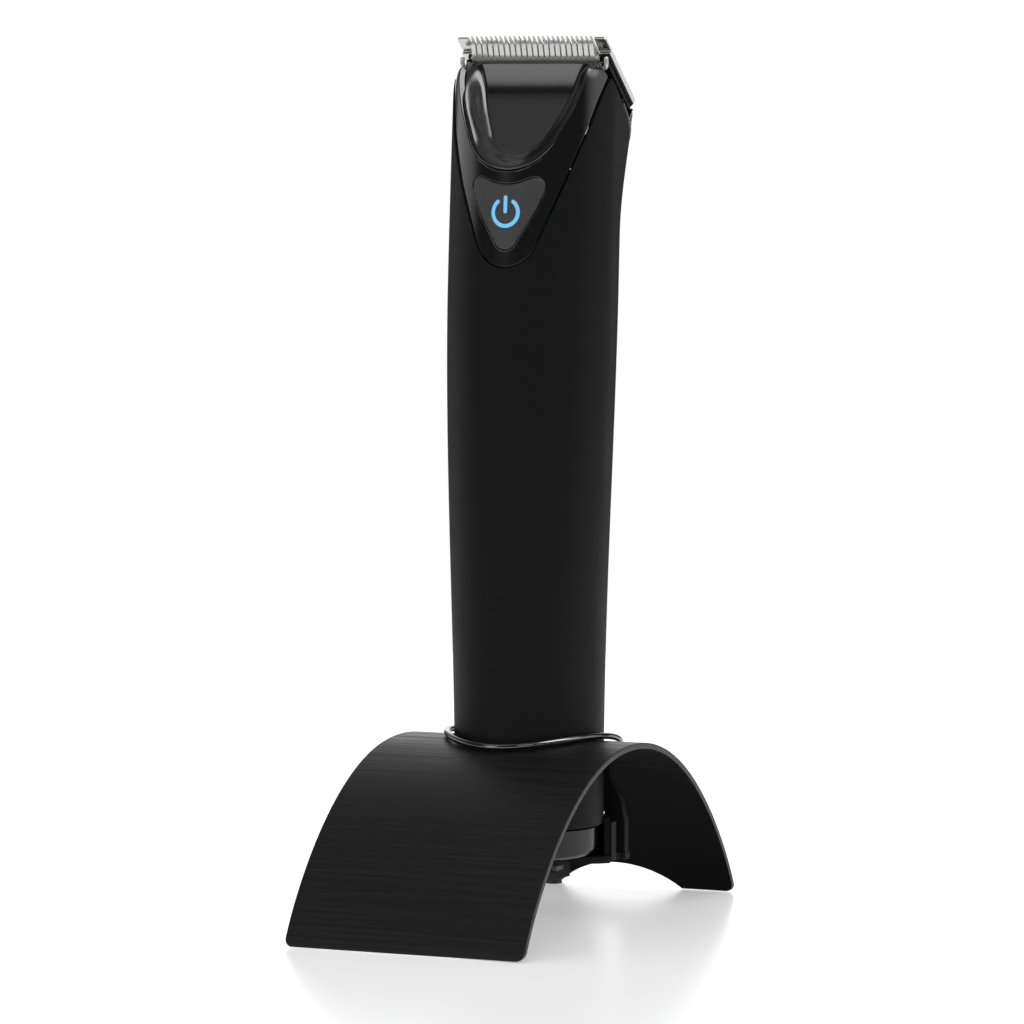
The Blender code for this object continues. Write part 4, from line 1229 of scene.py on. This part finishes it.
class GROOMER_OT_blades(bpy.types.Operator):
    """Builds the fixed blade and the moving blade, tooth by tooth"""

    bl_idname = "groomer.blades"
    bl_label = "Blades"

    def execute(self, context):
        turn = blade_frame()
        self.fixed(turn)
        self.moving(turn)
        return {"FINISHED"}

    @staticmethod
    def teeth(name, count, tip, root, widths, top, bottoms, turn):
        skin = Skin()
        pitch = 2 * TOOTH_ROW_HALF / count
        for i in range(count):
            x = TOOTH_ROW_HALF - pitch * (i + 0.5)
            tooth(skin, x, tip, root, pitch * widths[0], pitch * widths[1], top, bottoms, turn)
        return skin.mesh(name)

    def fixed(self, turn):
        half, row, length = BLADE_HIGH.x, TOOTH_ROW_HALF, 22.4
        right = [(row + 0.05, 4.7), (row + 0.25, 0.3), (half - 0.3, 0.3), (half, 0.6), (half, length - 1),
                 (half - 1, length)]
        mesh = prism_mesh("comb_plate", mirrored(right), -FIXED_THICK, 0, turn=turn)
        plate = place("comb_plate", mesh, "mirror_steel", "head", ["fixed_blade"])
        lip = [(-1, -COMB_LIP), (LIP_DEPTH, -COMB_LIP), (LIP_DEPTH, -5), (-1, -5)]
        tools = [prism_tool("thinning", [blade_point(*p) for p in lip], -30, 30, "X")]
        for side in (-1, 1):
            hole = circle((side * SCREW_X, SCREW_ALONG), 1.3, 40)
            tools.append(prism_tool(f"plate_hole_{side}", hole, -6, 6, turn=turn))
        tools.append(prism_tool("plate_slot", rectangle((0, 11.3), 3.2, 1.1), -0.25, 3, turn=turn))
        cut(plate, *tools)
        apply_modifiers(plate)
        soften(plate, 0.0001, 2, 30)
        mesh = self.teeth("comb_teeth", sizes().fixed_teeth, 0.0, 5.2, (0.4, 0.62), -LAP,
                          lambda along: -min(COMB_LIP, 0.3 + 0.5 * along), turn)
        place("comb_teeth", mesh, "ground_steel", "head")
        mesh.set_sharp_from_angle(angle=radians(32))

    def moving(self, turn):
        base = [(CUTTER_HALF_X, 4.2), (CUTTER_HALF_X, 5.4), (12.4, 5.4), (12.4, 10.2)]
        mesh = prism_mesh("cutter_plate", mirrored(base), CUTTER_BOTTOM, CUTTER_TOP, turn=turn)
        plate = place("cutter_plate", mesh, "ground_steel", "cutter", ["moving_blade"])
        soften(plate, 0.0001, 2, 30)
        mesh = self.teeth("cutter_teeth", sizes().cutter_teeth, 0.75, LIP_DEPTH - 0.06, (0.7, 0.84),
                          -COMB_LIP - 0.05, lambda along: -min(-CUTTER_BOTTOM - LAP, 0.28 + 0.68 * along), turn)
        place("cutter_teeth", mesh, "ground_steel", "cutter")
        mesh.set_sharp_from_angle(angle=radians(32))


class GROOMER_OT_blade_seat(bpy.types.Operator):
    """Builds the spring and the screws, and finishes the blades' carrier and guide"""

    bl_idname = "groomer.blade_seat"
    bl_label = "Blade seat"

    def execute(self, context):
        refine("blade_carrier", "moulding", 0.0003)
        refine("guide_bar", "ground_steel", 0.0001)
        refine("drive_yoke", "inner_moulding", 0.0002)
        self.spring()
        for side, sign in (("left", -1), ("right", 1)):
            self.screw(side, sign * SCREW_X)
        return {"FINISHED"}

    @staticmethod
    def spring():
        corners = [(0.0, 6.1, -4.35), (15.2, 6.1, -4.35), (16.75, 5.9, -4.1), (17.0, 5.2, -3.75), (17.0, 4.5, -3.0),
                   (17.0, 4.4, -2.75)]
        half = [Vector(p) for p in corners]
        path = [Vector((-p.x, p.y, p.z)) for p in reversed(half[1:])] + half
        fine = spread(path, 150)
        for _ in range(3):
            fine = [fine[0]] + [(a + b * 2 + c) / 4 for a, b, c in zip(fine, fine[1:], fine[2:])] + [fine[-1]]
        turn = blade_frame()
        mesh = tube_mesh("blade_spring", [turn @ p for p in fine], 0.5, 20)
        place("blade_spring", mesh, "drawn_steel", "head", ["tension_spring"])

    @staticmethod
    def screw(side, x):
        """Low cross-head screw through the fixed blade into its carrier."""
        low = 0.3
        dome = [(2.1 * cos(a), low + 0.55 + 0.45 * sin(a)) for a in (radians(9 * i) for i in range(10))]
        profile = [(1.0, -4.4), (1.0, low), (2.02, low), (2.1, low + 0.1)] + dome
        mesh = turned_mesh(f"cross_screw_{side}", profile, 40)
        mesh.transform(Matrix.Scale(MM, 4).inverted())
        mesh.transform(Matrix.Scale(MM, 4) @ blade_frame() @ Matrix.Translation((x, SCREW_ALONG, 0)))
        screw = place(f"cross_screw_{side}", mesh, "plated_steel", "head",
                      [f"blade_screw_{side}"])
        for name, wide, deep in (("a", 1.15, 0.26), ("b", 0.26, 1.15)):
            bar = rectangle((x, SCREW_ALONG), wide, deep)
            cut(screw, prism_tool(f"recess_{side}_{name}", bar, low + 0.3, 4, turn=blade_frame()))
        apply_modifiers(screw)
        soften(screw, 0.00004, 2, 40)


INNER_FINISHES = {
    "inner_moulding": ("chassis_front", "chassis_rear", "motor_mount"),
    "rubber": ("cap_seal",),
    "shrink_film": ("battery_cell",),
    "drawn_steel": ("drive_motor", "motor_shaft"),
    "plated_steel": ("battery_tab_bottom", "battery_tab_top", "motor_screw_left", "motor_screw_right",
                     "board_screw_bottom", "board_screw_top"),
    "solder_mask": ("main_board",),
    "moulding": ("tact_switch", "eccentric_cam"),
}


class GROOMER_OT_inner_works(bpy.types.Operator):
    """Finishes the cell, the motor, the board and the frame that carries them"""

    bl_idname = "groomer.inner_works"
    bl_label = "Inner works"

    def execute(self, context):
        for name, nodes in INNER_FINISHES.items():
            for node in nodes:
                refine(node, name, 0.0001)
        return {"FINISHED"}


# --- stage ---


class GROOMER_OT_stage(bpy.types.Operator):
    """Lays the pale floor, sets the soft lights and the camera"""

    bl_idname = "groomer.stage"
    bl_label = "Stage"

    def execute(self, context):
        self.floor()
        self.world()
        self.lights()
        self.camera()
        context.scene.view_settings.view_transform = "Standard"
        return {"FINISHED"}

    @staticmethod
    def floor():
        bm = bmesh.new()
        bmesh.ops.create_circle(bm, cap_ends=True, segments=96, radius=FLOOR_RADIUS)
        mesh = bpy.data.meshes.new("floor")
        bm.to_mesh(mesh)
        bm.free()
        floor = bpy.data.objects.new("floor", mesh)
        floor.location.z = -FLOOR_GAP
        bpy.context.scene.collection.objects.link(floor)
        pale = Finish("pale_floor", (0.66, 0.66, 0.66), 0.24)
        pale.bump(pale.grain(900, detail=2), 0.02, 0.00002)
        pale.set(specular_ior_level=0.32, emission_color=(1, 1, 1, 1), emission_strength=0.36)
        mesh.materials.append(pale.material)
        floor.visible_diffuse = False

    @staticmethod
    def world():
        """White to look at and for even light; reflections see a dim room with soft pale patches."""
        world = bpy.data.worlds.new("studio")
        bpy.context.scene.world = world
        world.use_nodes = True
        tree = world.node_tree
        tree.nodes.clear()
        node, link = tree.nodes.new, tree.links.new
        towards = node("ShaderNodeTexCoord").outputs["Generated"]
        total = None
        for turn, rise, level, near, far in PATCHES:
            turn, rise = radians(turn), radians(rise)
            dot = node("ShaderNodeVectorMath")
            dot.operation = "DOT_PRODUCT"
            dot.inputs[1].default_value = (cos(turn) * cos(rise), sin(turn) * cos(rise), sin(rise))
            link(towards, dot.inputs[0])
            patch = node("ShaderNodeMapRange")
            patch.interpolation_type = "SMOOTHSTEP"
            patch.inputs["From Min"].default_value = cos(radians(far))
            patch.inputs["From Max"].default_value = cos(radians(near))
            patch.inputs["To Max"].default_value = level
            link(dot.outputs["Value"], patch.inputs["Value"])
            add = node("ShaderNodeMath")
            add.inputs[1].default_value = ROOM_LEVEL
            if total is not None:
                link(total, add.inputs[1])
            link(patch.outputs["Result"], add.inputs[0])
            total = add.outputs["Value"]
        mirrored, paper = node("ShaderNodeBackground"), node("ShaderNodeBackground")
        for background in (mirrored, paper):
            background.inputs["Color"].default_value = (1, 1, 1, 1)
        link(total, mirrored.inputs["Strength"])
        mix = node("ShaderNodeMixShader")
        link(node("ShaderNodeLightPath").outputs["Is Glossy Ray"], mix.inputs["Fac"])
        link(paper.outputs["Background"], mix.inputs[1])
        link(mirrored.outputs["Background"], mix.inputs[2])
        link(mix.outputs["Shader"], node("ShaderNodeOutputWorld").inputs["Surface"])

    @staticmethod
    def lights():
        """Name, place, aim, width, height and power of each soft box."""
        boxes = [
            ("top_box", (0.0, 0.15, 1.2), (0, 0, 0.0), 1.4, 1.2, 1.2),
            ("front_box", (0.5, -1.0, 0.9), (0, 0, 0.1), 0.5, 0.5, 0.8),
        ]
        for name, spot, aim, width, height, power in boxes:
            light = bpy.data.lights.new(name, "AREA")
            light.shape = "RECTANGLE"
            light.size = width
            light.size_y = height
            light.energy = power
            lamp = bpy.data.objects.new(name, light)
            lamp.location = spot
            lamp.rotation_euler = (Vector(aim) - Vector(spot)).to_track_quat("-Z", "Y").to_euler()
            bpy.context.scene.collection.objects.link(lamp)

    @staticmethod
    def camera():
        lens = bpy.data.cameras.new("camera")
        lens.lens = CAMERA_LENS
        lens.sensor_width = 36.0
        lens.clip_start = 0.05
        lens.clip_end = 50.0
        camera = bpy.data.objects.new("camera", lens)
        ahead = Vector((-sin(CAMERA_TURN) * cos(CAMERA_PITCH), cos(CAMERA_TURN) * cos(CAMERA_PITCH),
                        -sin(CAMERA_PITCH)))
        across, up = CAMERA_AIM
        aim = Vector((cos(CAMERA_TURN), sin(CAMERA_TURN), 0)) * across + Vector((0, 0, up))
        camera.location = aim - ahead * CAMERA_RANGE
        camera.rotation_euler = ahead.to_track_quat("-Z", "Y").to_euler()
        bpy.context.scene.collection.objects.link(camera)
        bpy.context.scene.camera = camera


class GROOMER_PT_panel(bpy.types.Panel):
    """Lists the pieces that can be built"""

    bl_idname = "GROOMER_PT_panel"
    bl_label = "Body groomer"
    bl_space_type = "VIEW_3D"
    bl_region_type = "UI"
    bl_category = "Groomer"

    def draw(self, context):
        column = self.layout.column()
        for group in (context.scene.groomer_sizes, context.scene.groomer_colours):
            for key in type(group).__annotations__:
                column.prop(group, key)
        for operator in OPERATORS:
            column.operator(operator.bl_idname)


OPERATORS = [
    GROOMER_OT_stand_sheet,
    GROOMER_OT_mouth_ring,
    GROOMER_OT_cradle,
    GROOMER_OT_sleeve,
    GROOMER_OT_fascia,
    GROOMER_OT_rear_cover,
    GROOMER_OT_end_cap,
    GROOMER_OT_power_button,
    GROOMER_OT_head,
    GROOMER_OT_blades,
    GROOMER_OT_blade_seat,
    GROOMER_OT_inner_works,
    GROOMER_OT_stage,
]
CLASSES = [GroomerSizes, GroomerColours, *OPERATORS, GROOMER_PT_panel]


def register():
    for used in CLASSES:
        bpy.utils.register_class(used)
    bpy.types.Scene.groomer_sizes = PointerProperty(type=GroomerSizes)
    bpy.types.Scene.groomer_colours = PointerProperty(type=GroomerColours)


def unregister():
    del bpy.types.Scene.groomer_colours
    del bpy.types.Scene.groomer_sizes
    for used in reversed(CLASSES):
        bpy.utils.unregister_class(used)


def main():
    register()
    for operator in OPERATORS:
        group, name = operator.bl_idname.split(".")
        getattr(getattr(bpy.ops, group), name)()


if __name__ == "__main__":
    main()
